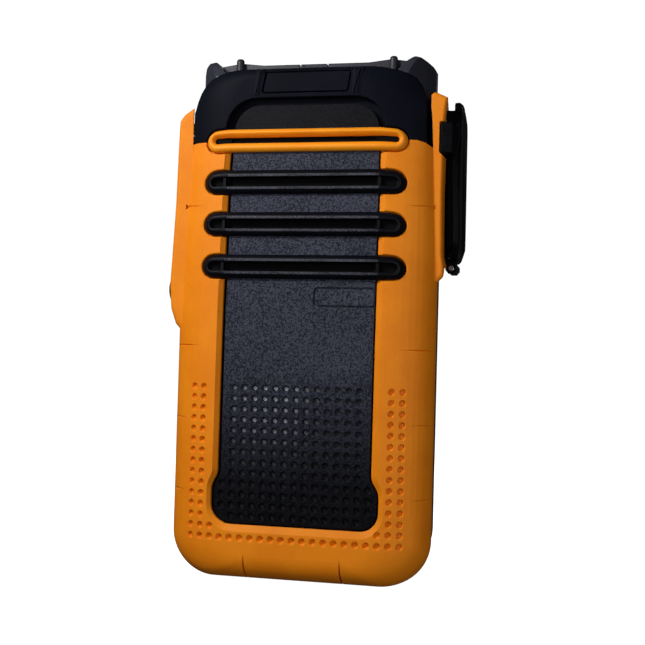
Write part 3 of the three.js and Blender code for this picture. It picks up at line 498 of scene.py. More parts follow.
class Nodes:
    """A shorthand for making a node material."""

    def __init__(self, name):
        self.material = bpy.data.materials.new(name)
        self.material.use_nodes = True
        self.tree = self.material.node_tree
        self.shader = self.tree.nodes["Principled BSDF"]
        self.where = self.add("ShaderNodeTexCoord").outputs["Object"]

    def add(self, kind, **values):
        node = self.tree.nodes.new(kind)
        for key, value in values.items():
            setattr(node, key, value)
        return node

    def link(self, output, socket):
        self.tree.links.new(output, socket)

    def noise(self, size_mm, detail=2.0, roughness=0.5):
        node = self.add("ShaderNodeTexNoise")
        node.inputs["Scale"].default_value = 1 / (size_mm * MM)
        node.inputs["Detail"].default_value = detail
        node.inputs["Roughness"].default_value = roughness
        self.link(self.where, node.inputs["Vector"])
        return node.outputs["Fac"]

    def ranged(self, value, low, high, to_low, to_high):
        node = self.add("ShaderNodeMapRange")
        for key, number in (("From Min", low), ("From Max", high), ("To Min", to_low), ("To Max", to_high)):
            node.inputs[key].default_value = number
        self.link(value, node.inputs["Value"])
        return node.outputs["Result"]

    def math(self, operation, a, b):
        node = self.add("ShaderNodeMath", operation=operation)
        for socket, value in zip(node.inputs, (a, b)):
            if isinstance(value, (int, float)):
                socket.default_value = value
            else:
                self.link(value, socket)
        return node.outputs[0]

    def mix(self, fac, a, b):
        node = self.add("ShaderNodeMix", data_type="RGBA")
        self.link(fac, node.inputs["Factor"])
        for socket, value in ((node.inputs[6], a), (node.inputs[7], b)):
            if isinstance(value, tuple):
                socket.default_value = (*value, 1)
            else:
                self.link(value, socket)
        return node.outputs[2]

    def along(self, axis, stops):
        """A value that follows (place along the axis in mm, value) stops."""
        split = self.add("ShaderNodeSeparateXYZ")
        self.link(self.where, split.inputs[0])
        curve = self.add("ShaderNodeValToRGB")
        first, last = stops[0][0], stops[-1][0]
        marks = curve.color_ramp.elements
        while len(marks) < len(stops):
            marks.new(0.5)
        for mark, (at, value) in zip(marks, stops):
            mark.position = (at - first) / (last - first)
            mark.color = (value, value, value, 1)
        self.link(self.ranged(split.outputs[axis], first * MM, last * MM, 0.0, 1.0), curve.inputs["Fac"])
        return curve.outputs["Color"]

    def bump(self, height, depth_mm, normal=None):
        node = self.add("ShaderNodeBump")
        node.inputs["Strength"].default_value = 1.0
        node.inputs["Distance"].default_value = depth_mm * MM
        self.link(height, node.inputs["Height"])
        if normal is not None:
            self.link(normal, node.inputs["Normal"])
        return node.outputs["Normal"]

    def edge_normal(self, radius_mm):
        node = self.add("ShaderNodeBevel", samples=6)
        node.inputs["Radius"].default_value = radius_mm * MM
        return node.outputs["Normal"]

    def edge_mask(self, rounded, low, high):
        """1 along sharp edges and 0 elsewhere."""
        normal = self.add("ShaderNodeNewGeometry").outputs["Normal"]
        node = self.add("ShaderNodeVectorMath", operation="DOT_PRODUCT")
        self.link(rounded, node.inputs[0])
        self.link(normal, node.inputs[1])
        return self.ranged(node.outputs["Value"], 1 - low, 1 - high, 0.0, 1.0)


def moulding(name, dark, light, highlight_colour, rough, grain_mm, grain_depth_mm, patch_mm=9.0, edge_mm=0.14,
             metal=0.0, specular=0.5, spark=0.0, contrast=0.35, clouds=1.0, shade_along_z=None, shade_along_x=None):
    """A moulded or metal surface: patches of tone, fine grain with bump, and paler edges that are a painted
    highlight.

    The colours are sRGB from 0 to 255, and the third is the painted highlight's colour. spark adds pale
    specks that are painted glints, clouds sets how far the patches differ, and the last two arguments paint
    shade, darkening the surface along z and x by (mm, share of the colour) stops.
    """
    n = Nodes(name)
    dark, light, highlight_colour = (linear(colour) for colour in (dark, light, highlight_colour))
    rounded = n.edge_normal(edge_mm)
    fine = n.noise(grain_mm, 3.0, 0.6)
    coarse = n.noise(patch_mm, 2.0, 0.55)
    tone = n.ranged(coarse, 0.35, 0.65, 0.5 - clouds / 2, 0.5 + clouds / 2)
    speck = n.ranged(fine, 0.35, 0.65, -contrast, contrast)
    base = n.mix(n.math("ADD", tone, speck), dark, light)
    # painted highlight: sharp edges turn towards the paler third colour, more in some patches than in others
    edge_highlight = n.math("MULTIPLY", n.edge_mask(rounded, 0.03, 0.3), n.ranged(coarse, 0.4, 0.62, 0.15, 0.8))
    base = n.mix(edge_highlight, base, highlight_colour)
    # painted glints: pale specks in the third colour
    if spark > 0:
        glint = n.ranged(n.noise(grain_mm * 0.8, 1.0, 0.5), 0.6, 0.74, 0.0, spark)
        base = n.mix(glint, base, highlight_colour)
    # painted shade: darker along z and x where the stops say
    if shade_along_z:
        base = n.mix(n.along("Z", shade_along_z), (0.0, 0.0, 0.0), base)
    if shade_along_x:
        base = n.mix(n.along("X", shade_along_x), (0.0, 0.0, 0.0), base)
    n.link(base, n.shader.inputs["Base Color"])
    n.link(n.ranged(fine, 0.3, 0.7, rough - 0.07, rough + 0.07), n.shader.inputs["Roughness"])
    n.link(n.bump(fine, grain_depth_mm, rounded), n.shader.inputs["Normal"])
    n.shader.inputs["Metallic"].default_value = metal
    n.shader.inputs["Specular IOR Level"].default_value = specular
    return n.material


ORANGE = moulding(
    "orange_skin", (238, 132, 4), (246, 142, 10), (252, 170, 60), 0.6, 0.35, 0.016, specular=0.26)
# painted light: a lighter copy of the orange skin for the top bar
ORANGE_BAR_LIT = moulding(
    "orange_bar_lit", (252, 148, 14), (255, 158, 24), (255, 180, 76), 0.5, 0.35, 0.01, specular=0.3)
# painted shade: a darker orange for the floors of the jacket's dimples
ORANGE_DIMPLE_SHADE = moulding(
    "orange_dimple_shade", (216, 118, 4), (232, 130, 8), (238, 146, 36), 0.4, 0.45, 0.004, specular=0.1)
BEZEL_BLACK = moulding(
    "bezel_black", (13, 15, 23), (17, 19, 29), (56, 59, 70), 0.5, 0.38, 0.006, specular=0.03)
# the panel darkens towards its foot, painted shade, and it is darker again above the top bar
PANEL_BLACK = moulding(
    "panel_grain", (26, 28, 40), (68, 71, 85), (110, 114, 133), 0.5, 0.34, 0.09, patch_mm=14.0,
    specular=0.07, spark=0.4, contrast=0.8, clouds=0.3,
    shade_along_z=[(10, 0.08), (20, 0.14), (32, 0.5), (44, 0.95), (58, 1.0), (89.4, 1.0), (91.5, 0.13), (110, 0.13)])
CREST_BLACK = moulding(
    "crest_grain", (26, 27, 36), (66, 67, 78), (120, 122, 134), 0.5, 0.32, 0.04, patch_mm=6.0,
    specular=0.2, spark=0.5, contrast=1.0)
RING_BLACK = moulding(
    "ring_black", (7, 8, 14), (10, 12, 20), (40, 42, 54), 0.42, 0.3, 0.006, specular=0.1)
# painted shade: a near black for the floors and deep faces of the slots
SLOT_SHADE = moulding(
    "slot_shade", (3, 3, 5), (7, 7, 10), (30, 31, 38), 0.6, 0.3, 0.006, specular=0.05)
# painted highlight: pale dimple floors for the key light's reflection, brightest left of centre and low on
# the panel
DIMPLE_HIGHLIGHT = moulding(
    "dimple_floor_highlight", (150, 153, 164), (182, 185, 197), (190, 194, 206), 0.4, 0.5, 0.004, specular=0.3,
    shade_along_z=[(10, 0.02), (20, 0.03), (26, 0.15), (33, 0.7), (38, 0.9), (48, 0.55), (110, 0.3)],
    shade_along_x=[(-16, 0.15), (-12, 0.6), (-9, 1.0), (-2, 0.9), (3, 0.3), (6, 0.06), (16, 0.02)])
COVER_GREY = moulding(
    "top_cover_grey", (40, 41, 51), (50, 52, 63), (100, 103, 115), 0.45, 0.3, 0.008, specular=0.3)
RUBBER = moulding(
    "rubber_black", (5, 6, 9), (10, 11, 15), (30, 32, 39), 0.4, 0.5, 0.008, specular=0.06)
BATTERY_BLACK = moulding(
    "battery_black", (24, 25, 31), (31, 32, 39), (70, 72, 80), 0.5, 0.4, 0.02)
GREY_PLASTIC = moulding(
    "grey_plastic", (38, 40, 47), (48, 50, 58), (98, 100, 110), 0.42, 0.35, 0.008)
ALLOY = moulding(
    "cast_alloy", (118, 121, 126), (142, 145, 150), (190, 192, 196), 0.42, 0.5, 0.012, metal=1.0)
STEEL = moulding(
    "steel", (170, 173, 178), (192, 195, 199), (224, 226, 229), 0.28, 0.6, 0.003, metal=1.0)
GOLD = moulding(
    "gold_plate", (205, 160, 78), (222, 178, 92), (240, 206, 132), 0.26, 0.6, 0.002, metal=1.0)
BOARD = moulding(
    "board_green", (18, 74, 42), (26, 96, 54), (150, 140, 90), 0.45, 0.8, 0.01, patch_mm=3.0)
CELL = moulding(
    "cell_wrap", (44, 92, 148), (58, 112, 172), (130, 160, 196), 0.35, 0.6, 0.003)
LENS = moulding(
    "light_pipe", (40, 42, 50), (54, 56, 65), (110, 114, 122), 0.22, 0.6, 0.002)

SLOT_MATERIAL = {
    "housing": BATTERY_BLACK, "jacket": ORANGE, "panel": PANEL_BLACK, "rubber": RUBBER,
    "grey_plastic": GREY_PLASTIC, "alloy": ALLOY, "steel": STEEL, "gold": GOLD, "board": BOARD,
    "cell": CELL, "light_pipe": LENS,
}


# ---- finishing a piece ----
def bevelled(obj, width, segments=2, angle=32):
    modifier = obj.modifiers.new("edges", "BEVEL")
    modifier.width = width
    modifier.segments = segments
    modifier.limit_method = "ANGLE"
    modifier.angle_limit = math.radians(angle)
    modifier.use_clamp_overlap = True
    return applied(obj)


def piece(obj, body, materials, nodes, angle=34):
    """Scales a finished solid to metres, gives it its materials, shades it, and ties it to its body."""
    mesh = obj.data
    mesh.transform(Matrix.Scale(MM, 4))
    while len(mesh.materials) < len(materials):
        mesh.materials.append(None)
    for i, material in enumerate(materials):
        mesh.materials[i] = material
    mesh.shade_smooth()
    mesh.set_sharp_from_angle(angle=math.radians(angle))
    weighted = obj.modifiers.new("normals", "WEIGHTED_NORMAL")
    weighted.keep_sharp = True
    weighted.weight = 60
    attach(obj, body)
    if nodes:
        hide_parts(*nodes)
    return obj


def paint(obj, index, test):
    """Gives material index to the faces whose centre and normal pass the test."""
    for polygon in obj.data.polygons:
        if test(polygon.center, polygon.normal):
            polygon.material_index = index


# ---- pieces ----
KEY_Z = (KEY.z0 + KEY.z1) / 2
KEY_R = (KEY.z1 - KEY.z0) / 2
HOLE_GAP = 0.35  # round the buttons
GROOVES = ((17.9, 23.6), (32.9, 23.6), (48.0, 20.6), (77.2, 21.8))  # (height, inner end)
NICK_X = 10.1
# (height, half width, depth)
NICK = ((-1, 0.8, 9), (0.9, 0.66, 4.4), (2.2, 0.5, 2.3), (4.0, 0.3, 0.85), (5.6, 0.1, 0.1))
TONGUE_Z = (87.2, 94.7)  # the recess for the cover's tongue


def ring_tool(name, z, flare):
    """The notch that a bar sits in."""
    profile = [(-2.5, flare + 2.5), (0, flare), (flare, 0), (RING_D + 0.6, 0)]
    return bar_tool(name, z, RING_HALF + 0.25, RING_H + 0.25, profile)


def side_openings():
    gap = HOLE_GAP
    reach = KEY_R + gap
    talk = rectangle(TALK.y0 - gap, TALK.y1 + gap, TALK.z0 - gap, TALK.z1 + gap, 3)
    key = rectangle(KEY_Y - reach, KEY_Y + reach, KEY_Z - reach, KEY_Z + reach, 3.5)
    port = rectangle(-6.6, 2.6, 65.6, 92.6, 2.5)
    return (slab_x("talk_hole", talk, -40, -20), slab_x("key_hole", key, -40, -20),
            slab_x("port_hole", port, 20, 40))


def groove_tool(name, side, inner, outer, z, half=0.28, deep=0.34):
    """A short V groove across the rolled edge at height z, fading out at its inner end."""
    steps = 10
    loops = []
    for k in range(steps + 1):
        x = inner + (outer - inner) * k / steps
        shade_along_z = min(1.0, 0.15 + 1.4 * k / steps)
        y = FRONT + crown(x)
        loops.append([(side * x, y + deep * shade_along_z, z), (side * x, y - 0.5, z + half * shade_along_z * 2),
                      (side * x, y - 0.5, z - half * shade_along_z * 2)])
    return loft(name, loops)


def on_floor(c):
    """Whether the point lies on the floor of one of the jacket's dimples."""
    deep = abs(c.y - FRONT - crown(c.x) - DIMPLE_D) < 0.04
    return deep and any(math.hypot(c.x - x, c.z - z) < 0.4 for x, z in JACKET_DIMPLES)


def make_jacket():
    jacket = body_form("orange_jacket_skin", 0, SPLIT)
    join(jacket, lobe("left", LEFT_LOBE), lobe("right", RIGHT_LOBE))
    upper = above_jacket("upper", 0)
    cut(jacket, common(upper, body_form("keep_lobes", -0.02, SPLIT + 8)))
    cut(jacket, box("throat", 20, 25.9, FRONT - 1, -8, 95.2, 110))
    cut(jacket, body_form("core", WALL, SPLIT + 8))
    cut(jacket, box("rear", -FAR, FAR, SPLIT, FAR, -FAR, FAR))
    # the window's chamfer is wider on the right and at the foot than on the left
    chamfer = ((-1.0, 1.7, 0.9), (0.15, 1.15, 0.4), (0.95, 0.32, 0), (6.0, 0.32, 0))
    cut(jacket, loft("window", [in_front(grown(panel_path(wide=w), g), d) for d, g, w in chamfer]))
    for i, z in enumerate(RING_Z):
        cut(jacket, ring_tool("notch", z, 0.12 if i == 3 else 0.22))
    cut(jacket, *side_openings())
    low, high = TONGUE_Z
    latch = [(27.6, low + 1.2, 0.3), (29.2, low, 0), (40, low, 0), (40, high, 0), (27.6, high, 0.3)]
    cut(jacket, slab("latch", fillet_path(latch, 3), FRONT, -5.4))
    cut(jacket, box("hinge", 28.2, 40, -5.4, 1.4, 63.4, 67))
    cut(jacket, dimples("dimples", JACKET_DIMPLES, 0, 1.0))
    for z, inner in GROOVES:
        for side in (-1, 1):
            short = 0.8 if side < 0 and z > KEY.z1 else 0  # beside the left lobe
            cut(jacket, groove_tool("groove", side, inner - short, HALF - 0.5 - short, z))
    for x in (-NICK_X, NICK_X):
        cut(jacket, loft("nick", [[(x - w, FRONT - 1, z), (x + w, FRONT - 1, z), (x, FRONT + d, z)]
                                  for z, w, d in NICK]))
    # the dimple floors take the darker orange, painted shade
    paint(jacket, 1, lambda c, n: n.y < -0.8 and on_floor(c))
    return piece(jacket, "housing", [ORANGE, ORANGE_DIMPLE_SHADE], ["orange_jacket"])


def make_housing():
    low = body_form("housing_shell", INSET, SPLIT)
    high = body_form("bezel_part", 0, SPLIT)
    common(high, above_jacket("above", 0.12))
    # beyond its flat part the bezel steps back to a ledge, and its upper corners are rounder than the body's
    right = [(40, 80), (40, 95.4), (25.6, 96.2), (25.0, 98), (24.7, 100.2), (23.9, 102.2), (22.6, 103.8),
             (20.9, 104.9), (18.3, 105.7), (14.2, 106.2), (9, 106.4)]
    left = [(-9, 106.4), (-13.6, 106.2), (-17.6, 105.5), (-20.5, 104.1), (-21.8, 102.8), (-22.8, 101.1),
            (-23.5, 99.3), (-24.0, 97.6), (-24.6, 96.4), (-40, 95.4), (-40, 80)]
    outline = [Vector(p) for p in right + left]
    common(high, slab("head", outline, FRONT - 2, SPLIT + 1))
    for side in (-1, 1):
        ledge = [Vector((side * x, z)) for x, z in
                 ((25.25, 80), (40, 80), (40, 140), (24.6, 140), (25.1, 97))]
        cut(high, slab("ledge", ledge if side > 0 else ledge[::-1], FRONT - 2, FRONT + 6.0))
    bevelled(high, 0.3, 2, 50)
    housing = join(low, high)
    cut(housing, body_form("cavity", CAVITY, SPLIT + 8))
    cut(housing, lobe("left", LEFT_LOBE, 0.12), lobe("right", RIGHT_LOBE, 0.12))
    cut(housing, box("head", -FAR, FAR, FRONT + 4.5, FAR, 94.8, FAR))
    channel = [(-1, 2.6), (-0.12, 1.72), (0.1, 1.5), (0.3, 1.42), (INSET, 1.38)]
    cut(housing, stepped("channel", panel_path(), channel))
    cut(housing, bar_tool("notch", RING_Z[3], RING_HALF + 0.2, RING_H + 0.2,
                          [(-2.5, 2.8), (0, 0.3), (0.3, 0), (RING_D + 0.6, 0)]))
    for z in RING_Z:
        cut(housing, bar_tool("sound", z, 14.5, SLOT_H, [(-2, 0), (8, 0)]))
    cut(housing, *side_openings())
    # the brow's field round the name recess stands up at its two ends only
    for x0, x1, lean in ((-10.7, -9.3, 0.6), (10.0, 11.8, 0.5)):
        path = fillet_path([(x0, 99.9, 0.3), (x1, 99.9, 0.3), (x1 + lean, 105.3, 0.3),
                            (x0 + lean, 105.3, 0.3)], 3)
        join(housing, stepped("field", path, [(0.6, 0.2), (0, 0.1), (-0.09, -0.12), (-0.13, -0.5)]))
    recess = fillet_path([(NAME.x0 - 0.25, NAME.z0 - 0.25, 0.7), (NAME.x1 - 0.1, NAME.z0 - 0.25, 0.7),
                          (NAME.x1 + 0.45, NAME.z1 + 0.25, 0.4), (NAME.x0 + 0.6, NAME.z1 + 0.25, 0.4)], 4)
    cut(housing, stepped("recess", recess, [(-1, 0.9), (-0.2, 0.12), (-0.05, 0.02), (0.9, 0)]))
    return piece(housing, "housing", [BEZEL_BLACK], ["front_housing"])


def make_panel():
    edge = ((PANEL.y1 - FRONT, 0), (PANEL_D + 0.16, 0), (PANEL_D + 0.05, -0.05), (PANEL_D, -0.18))
    panel = stepped("grained_panel", panel_path(PANEL_GAP), edge)
    for z in RING_Z:
        path = racetrack(PANEL_HALF + 2, SLOT_H + 0.1)
        slot = loft("slot", [in_front(path, d) for d in (-1, PANEL_D + SLOT_D)])
        cut(panel, turned(slot, Matrix.Translation((0, 0, z))))
    badge = rectangle(MODEL.x0 - 0.35, MODEL.x1 + 0.3, MODEL.z0 - 0.35, MODEL.z1 + 0.35, 1.0)
    cut(panel, slab("badge", badge, FRONT - 1, FRONT + PANEL_D + 0.42))
    scale = 0.98
    cut(panel, dimples("dimples", PANEL_DIMPLES, PANEL_D, scale, 16))
    floor_y = FRONT + PANEL_D + DIMPLE_D * scale
    low_rows = DIMPLE_Z + 14.6 * PITCH
    # the dimple floors get the painted highlight
    paint(panel, 1, lambda c, n: n.y < -0.9 and abs(c.y - floor_y) < 0.1 and c.z < low_rows)
    slot_y = FRONT + PANEL_D + SLOT_D - 0.08
    # the slots' deep faces are painted in shade
    paint(panel, 2, lambda c, n: c.y > slot_y and c.z > RING_Z[0] - 2 and n.y < 0.5)
    return piece(panel, "housing", [PANEL_BLACK, DIMPLE_HIGHLIGHT, SLOT_SHADE], ["front_panel"])


# outer foot round to the bottom of the slot: (half length less, half height, depth, rise)
BLACK_SECTION = [
    (0.0, 2.45, 0.9, 0), (0.0, 2.45, 0.12, 0), (0.06, 2.4, -0.02, 0), (0.42, 2.05, -0.4, 0),
    (0.7, 1.72, -0.62, 0), (0.86, 1.56, -0.7, 0), (1.34, 1.08, -0.7, 0), (1.42, 1.0, -0.66, 0),
    (1.5, 0.92, -0.5, 0), (1.54, SLOT_H, 0.9, 0),
]
ORANGE_SECTION = [
    (0.1, 2.35, 0.9, 0), (0.1, 2.35, 0.1, 0), (0.16, 2.28, -0.1, 0), (0.36, 2.05, -0.4, 0.02),
    (0.6, 1.82, -0.6, 0.04), (0.86, 1.6, -0.7, 0.08), (1.15, 1.34, -0.66, 0.12), (1.34, 1.14, -0.5, 0.16),
    (1.56, 0.86, -0.2, 0.16), (1.78, 0.62, 0.25, 0.12), (1.8, 0.6, 0.9, 0.12),
]


def make_ring(i):
    z = RING_Z[i]
    last = i == 3
    loops = []
    for less, half_h, d, rise in ORANGE_SECTION if last else BLACK_SECTION:
        path = racetrack(RING_HALF - less, half_h, 14)
        loops.append(on_crown(stretched(path, i), z + rise, d))
    ring = loft(f"speaker_bar_{i + 1}", loops, ring=True)
    # beyond the panel each slot has a floor in painted shade, and a thin bridge over the panel's edge on the
    # black bars
    inner, floor_y = PANEL_HALF - 0.6, FRONT + 0.75
    for side in (-1, 1):
        x = side * (PANEL_HALF + 0.35)
        if not last:
            join(ring, box("bridge", x - 0.3, x + 0.3, FRONT - 0.3, FRONT + 0.6, z - 1.0, z + 1.0))
        floor = sorted((side * inner, side * (RING_HALF - 1.0)))
        join(ring, box("floor", *floor, floor_y, floor_y + 0.6, z - 1.1, z + 1.05))
    # the floors and their inner ends get the painted shade
    paint(ring, 2, lambda c, n: n.y < -0.9 and abs(c.x) > inner and abs(c.y - floor_y) < 0.05)
    paint(ring, 2, lambda c, n: abs(n.x) > 0.9 and abs(c.x) < inner + 0.1 and c.y > floor_y - 0.05)
    if not last:
        paint(ring, 1, lambda c, n: n.y < -0.9 and abs(c.x) < PANEL_HALF and c.y < FRONT - 0.5)
    materials = [ORANGE_BAR_LIT if last else RING_BLACK, CREST_BLACK, SLOT_SHADE]
    return piece(ring, "housing", materials, [f"grille_ring_{i + 1}"], 50)


def make_plates():
    name = fillet_path([(NAME.x0 + 0.1, NAME.z0 + 0.05, 0.5), (NAME.x1 - 0.45, NAME.z0 + 0.05, 0.5),
                        (NAME.x1 + 0.1, NAME.z1 - 0.05, 0.3), (NAME.x0 + 0.95, NAME.z1 - 0.05, 0.3)], 4)
    plate = slab("blank_name_plate", name, FRONT + 0.16, FRONT + 0.85, 0.12)
    piece(plate, "housing", [BEZEL_BLACK], ["name_plate"])
    model = rectangle(MODEL.x0, MODEL.x1, MODEL.z0, MODEL.z1, 0.75)
    plate = slab("blank_model_plate", model, FRONT + PANEL_D - 0.06, MODEL.y1, 0.1)
    piece(plate, "housing", [PANEL_BLACK], ["model_plate"])


def make_top_cover():
    deck = 104.0
    back, front = TOP.y1, TOP.y0
    inside = 21.5  # half width of the space under the deck
    head = CHASSIS.z1 + 0.08

    def both(right, steps=5):
        """An outline made of its right half and the mirrored left one."""
        return fillet_path([*right, *[(-u, v, r) for u, v, r in reversed(right)]], steps)

    wide = TOP.x1 + 0.35
    section = both([
        (wide, TOP.z0, 0), (wide, 105.9, 1.2), (25.7, 107.2, 1.5), (23.3, 108.6, 2.5), (21.6, 109.25, 0.7),
        (20.3, 108.0, 1.2), (19.0, 106.5, 2.0), (17.4, deck, 0.8),
    ])
    cover = slab("top_guard", section, front, back)
    profile = fillet_path([
        (front, 90, 0), (back, 90, 0), (back, 103.6, 1.4), (back - 1.8, 105.3, 1.5), (4, 108.3, 8),
        (-2.5, TOP.z1, 3.0), (-6.2, TOP.z1, 1.6), (-8.6, 108.2, 2.5), (front, 105.4, 0.6),
    ], 5)
    common(cover, slab_x("profile", profile, -30, 30))
    plan = both([
        (23.0, back, 1.0), (wide - 0.2, 1.0, 8.0), (wide, -3.0, 2.0), (24.1, -6.4, 2.0), (20.8, front, 1.0),
    ], 6)
    common(cover, turned(slab("plan", plan, 80, 120), TO_Z))
    cut(cover, box("under", -inside, inside, FRONT + 3, SPLIT - 1.2, 80, 102.2))
    cut(cover, box("over_head", -inside, inside, FRONT + 2, FAR, 80, head))
    cut(cover, box("rear_step", -FAR, FAR, SPLIT - 0.2, FAR, 80, head))
    cut(cover, lobe("left", LEFT_LOBE, 0.15), lobe("right", RIGHT_LOBE, 0.15))
    bevelled(cover, 0.4, 3)
    rim_y, rim_z = LIGHT.y0, LIGHT.z1
    rim = both([(21.0, deck - 1, 0), (21.0, rim_z - 0.1, 0.3), (16.4, rim_z + 0.55, 3.0), (11.5, rim_z, 6.0)])
    join(cover, slab("rim", rim, rim_y, rim_y + 1.4, 0.25))
    cut(cover, box("light", LIGHT.x0 - 0.12, LIGHT.x1 + 0.12, -7, -3, 104.6, 110))
    for x, r in ((-12.5, 4.6), (0.5, 3.8), (12.5, 3.8)):
        hole = [(0, 80), (r, 80), (r, 103.7), (r + 0.3, 104.05), (r + 0.3, 120), (0, 120)]
        tool = turned(lathe("hole", hole, 40), TO_Z)
        cut(cover, turned(tool, Matrix.Translation((x, -0.3, 0))))
    post = [(0, deck - 1), (0.95, deck - 1), (0.86, TOP.z1 - 1.4), (0.84, TOP.z1 - 0.6), (0.78, TOP.z1 - 0.3),
            (0.55, TOP.z1 - 0.06), (0.2, TOP.z1), (0, TOP.z1)]
    for x, drop in ((-16.5, 0.0), (17, 0.35)):
        join(cover, turned(turned(lathe("post", post, 20), TO_Z), Matrix.Translation((x, -6.3, -drop))))
    return piece(cover, "housing", [COVER_GREY], ["top_cover"])


def make_light():
    path = rectangle(LIGHT.x0, LIGHT.x1, LIGHT.z0, LIGHT.z1, 0.5, 4)
    lens = slab("status_lens", path, LIGHT.y0, LIGHT.y1, 0.25)
    return piece(lens, "housing", [LENS], ["status_light"])


def make_talk_button():
    y0, y1, z0, z1 = TALK.y0, TALK.y1, TALK.z0, TALK.z1
    mid_y, mid_z = (y0 + y1) / 2, (z0 + z1) / 2
    base = rectangle(y0, y1, z0, z1, 2.7, 8)
    loops = []
    tilt = 1.1 / (z1 - z0)  # the pad's face draws in towards its top
    for x, g in ((-25, 0), (TALK.x0 + 1.3, 0), (TALK.x0 + 0.6, -0.15), (TALK.x0 + 0.2, -0.5),
                 (TALK.x0 + 0.05, -1.1)):
        loops.append([(x + tilt * (p.y - z0) if x < -26 else x, p.x, p.y) for p in grown(base, g)])
    pad = loft("talk_pad", loops)
    for k in range(5):
        z = mid_z + (k - 2) * 3.1
        rib = rectangle(y0 + 1.6, y1 - 1.6, z - 0.55, z + 0.55, 0.5)
        top = TALK.x0 + 0.05 + tilt * (z - z0)
        join(pad, slab_x("rib", rib, top - 0.35, top + 0.8, 0.2))
    stem = rectangle(mid_y - 1.6, mid_y + 1.6, mid_z - 1.6, mid_z + 1.6, 1.5)
    join(pad, slab_x("stem", stem, -25.5, TALK.x1))
    return piece(pad, "ptt_button", [RUBBER], ["ptt_button"])


def make_side_key():
    profile = [
        (0, -KEY.x0), (1.2, -KEY.x0 - 0.03), (2.2, -KEY.x0 - 0.15), (2.8, -KEY.x0 - 0.4),
        (KEY_R, -KEY.x0 - 1.0), (KEY_R, 25), (1.2, 25), (1.2, -KEY.x1), (0, -KEY.x1),
    ]
    key = lathe("side_key_cap", profile, 40)
    key = turned(key, Matrix(((0, -1, 0, 0), (1, 0, 0, 0), (0, 0, 1, 0), (0, 0, 0, 1))))
    turned(key, Matrix.Translation((0, KEY_Y, KEY_Z)))
    for k in (-1, 0, 1):
        z = KEY_Z + k * 1.2
        cut(key, box("groove", -40, KEY.x0 + 0.35, -10, 10, z - 0.16, z + 0.16))
    return piece(key, "side_key", [RUBBER], ["side_key"])


# (height, how far the cover's plate stands out there)
COVER_LEAN = [
    (63, -1.7), (65.5, -0.9), (67.5, 0.0), (69.5, 0.5), (74, 0.5), (79, 0.27), (85, 0.02), (88, -0.05),
    (90, -0.12), (92.6, 0.4), (96.5, 0.4), (98, 0.2), (99.5, -0.1), (101, -0.3),
]


def cover_lean(z):
    for (z0, a), (z1, b) in zip(COVER_LEAN, COVER_LEAN[1:]):
        if z <= z1:
            k = max(0.0, (z - z0) / (z1 - z0))
            return a + (b - a) * k * k * (3 - 2 * k)
    return COVER_LEAN[-1][1]


TAB_THIN = 0.1  # the pull tab is this much thinner than the plate


def make_cover():
    """The accessory cover: a rounded plate with a pull tab, a shoulder, its plug, a tongue and a knuckle."""
    outline = fillet_path([
        (-6.2, 66.4, 2.6), (2.2, 66.4, 2.6), (3.6, 70, 3.0), (3.6, 94.5, 3.0), (1.6, COVER.z1 + 0.1, 1.2),
        (-0.6, COVER.z1 + 0.1, 0.3), (-0.9, COVER.z1 - 0.3, 0.2), (-4.6, COVER.z1 - 0.4, 1.2),
        (-7.7, 95.5, 3.0), (-7.7, 70, 3.0),
    ], 6)
    dense = []
    for a, b in zip(outline, outline[1:] + outline[:1]):
        count = max(1, int((b - a).length / 1.6))
        dense += [a.lerp(b, k / count) for k in range(count)]
    inner, outer = 29.75, 31.3  # the plate's two faces
    plate = []
    for x, g in ((inner, -0.5), (inner + 0.12, -0.1), (inner + 0.4, 0.0),
                 (outer - 0.35, 0.0), (outer - 0.12, -0.16), (outer, -0.6)):
        thin = TAB_THIN if x < (inner + outer) / 2 else 0.0
        plate.append([(x + cover_lean(p.y) + thin * min(1.0, max(0.0, (p.y - 96) / 2)), p.x, p.y)
                      for p in grown(dense, g)])
    cover = loft("port_cover", plate)
    shoulder = slab_x("shoulder", rectangle(-6.9, 2.6, 68.6, 98.0, 1.6), 28.95, 30.3, 0.2)
    plug = slab_x("plug", rectangle(-4.3, 0.3, 68.4, 90.5, 1.2), COVER.x0, 29.2, 0.25)
    pin_x, pin_z = (PIN.x0 + PIN.x1) / 2, (PIN.z0 + PIN.z1) / 2
    at_pin = Matrix.Translation((pin_x, 0, pin_z))
    knuckle = turned(rod("knuckle", 1.1, -3.4, -0.6, 28), at_pin)
    web = box("web", pin_x - 0.2, 30.6, -3.4, -0.6, pin_z, 69)
    tongue = slab("tongue", rectangle(27.85, 30.3, 88.2, 94.4, 0.35, 3), COVER.y0, -6.7, 0.2)
    root = box("root", 29.0, 30.3, -7.2, -5.2, 88.3, 94.3)
    join(cover, shoulder, plug, box("cheek", 28.4, 29.4, -6.9, 2.0, 94.6, 97.7))
    # clearance for the two lugs of the hinge frame
    for y in (-4.9, -0.3):
        cut(cover, box("lug_gap", 25, 40, y - 0.3, y + 1.5, 60, 67.4))
    join(cover, web, knuckle, tongue, root)
    cut(cover, turned(rod("bore", 0.62, -10, 10), at_pin))
    return piece(cover, "accessory_cover", [RUBBER], ["accessory_cover"])


def battery_loop(y, inset):
    """The battery's outline at depth y, this far inside its widest one."""
    half, high = BATTERY.x1 - inset, BATTERY.z1 - inset
    r_top, r_low = max(0.8, 3 - inset), 9.5 - inset
    path = fillet_path([(-half, inset, r_low), (half, inset, r_low), (half, high, r_top),
                        (-half, high, r_top)], 10)
    return [(p.x, y, p.y) for p in path]


def battery_form(name, inset, y0, roll, bends=8):
    loops = [battery_loop(y0, inset)]
    for i in range(bends + 1):
        a = math.radians(90 * i / bends)
        y = BATTERY.y1 - inset - 4 * (1 - math.sin(a))
        loops.append(battery_loop(y, inset + roll * (1 - math.cos(a))))
    return loft(name, loops)


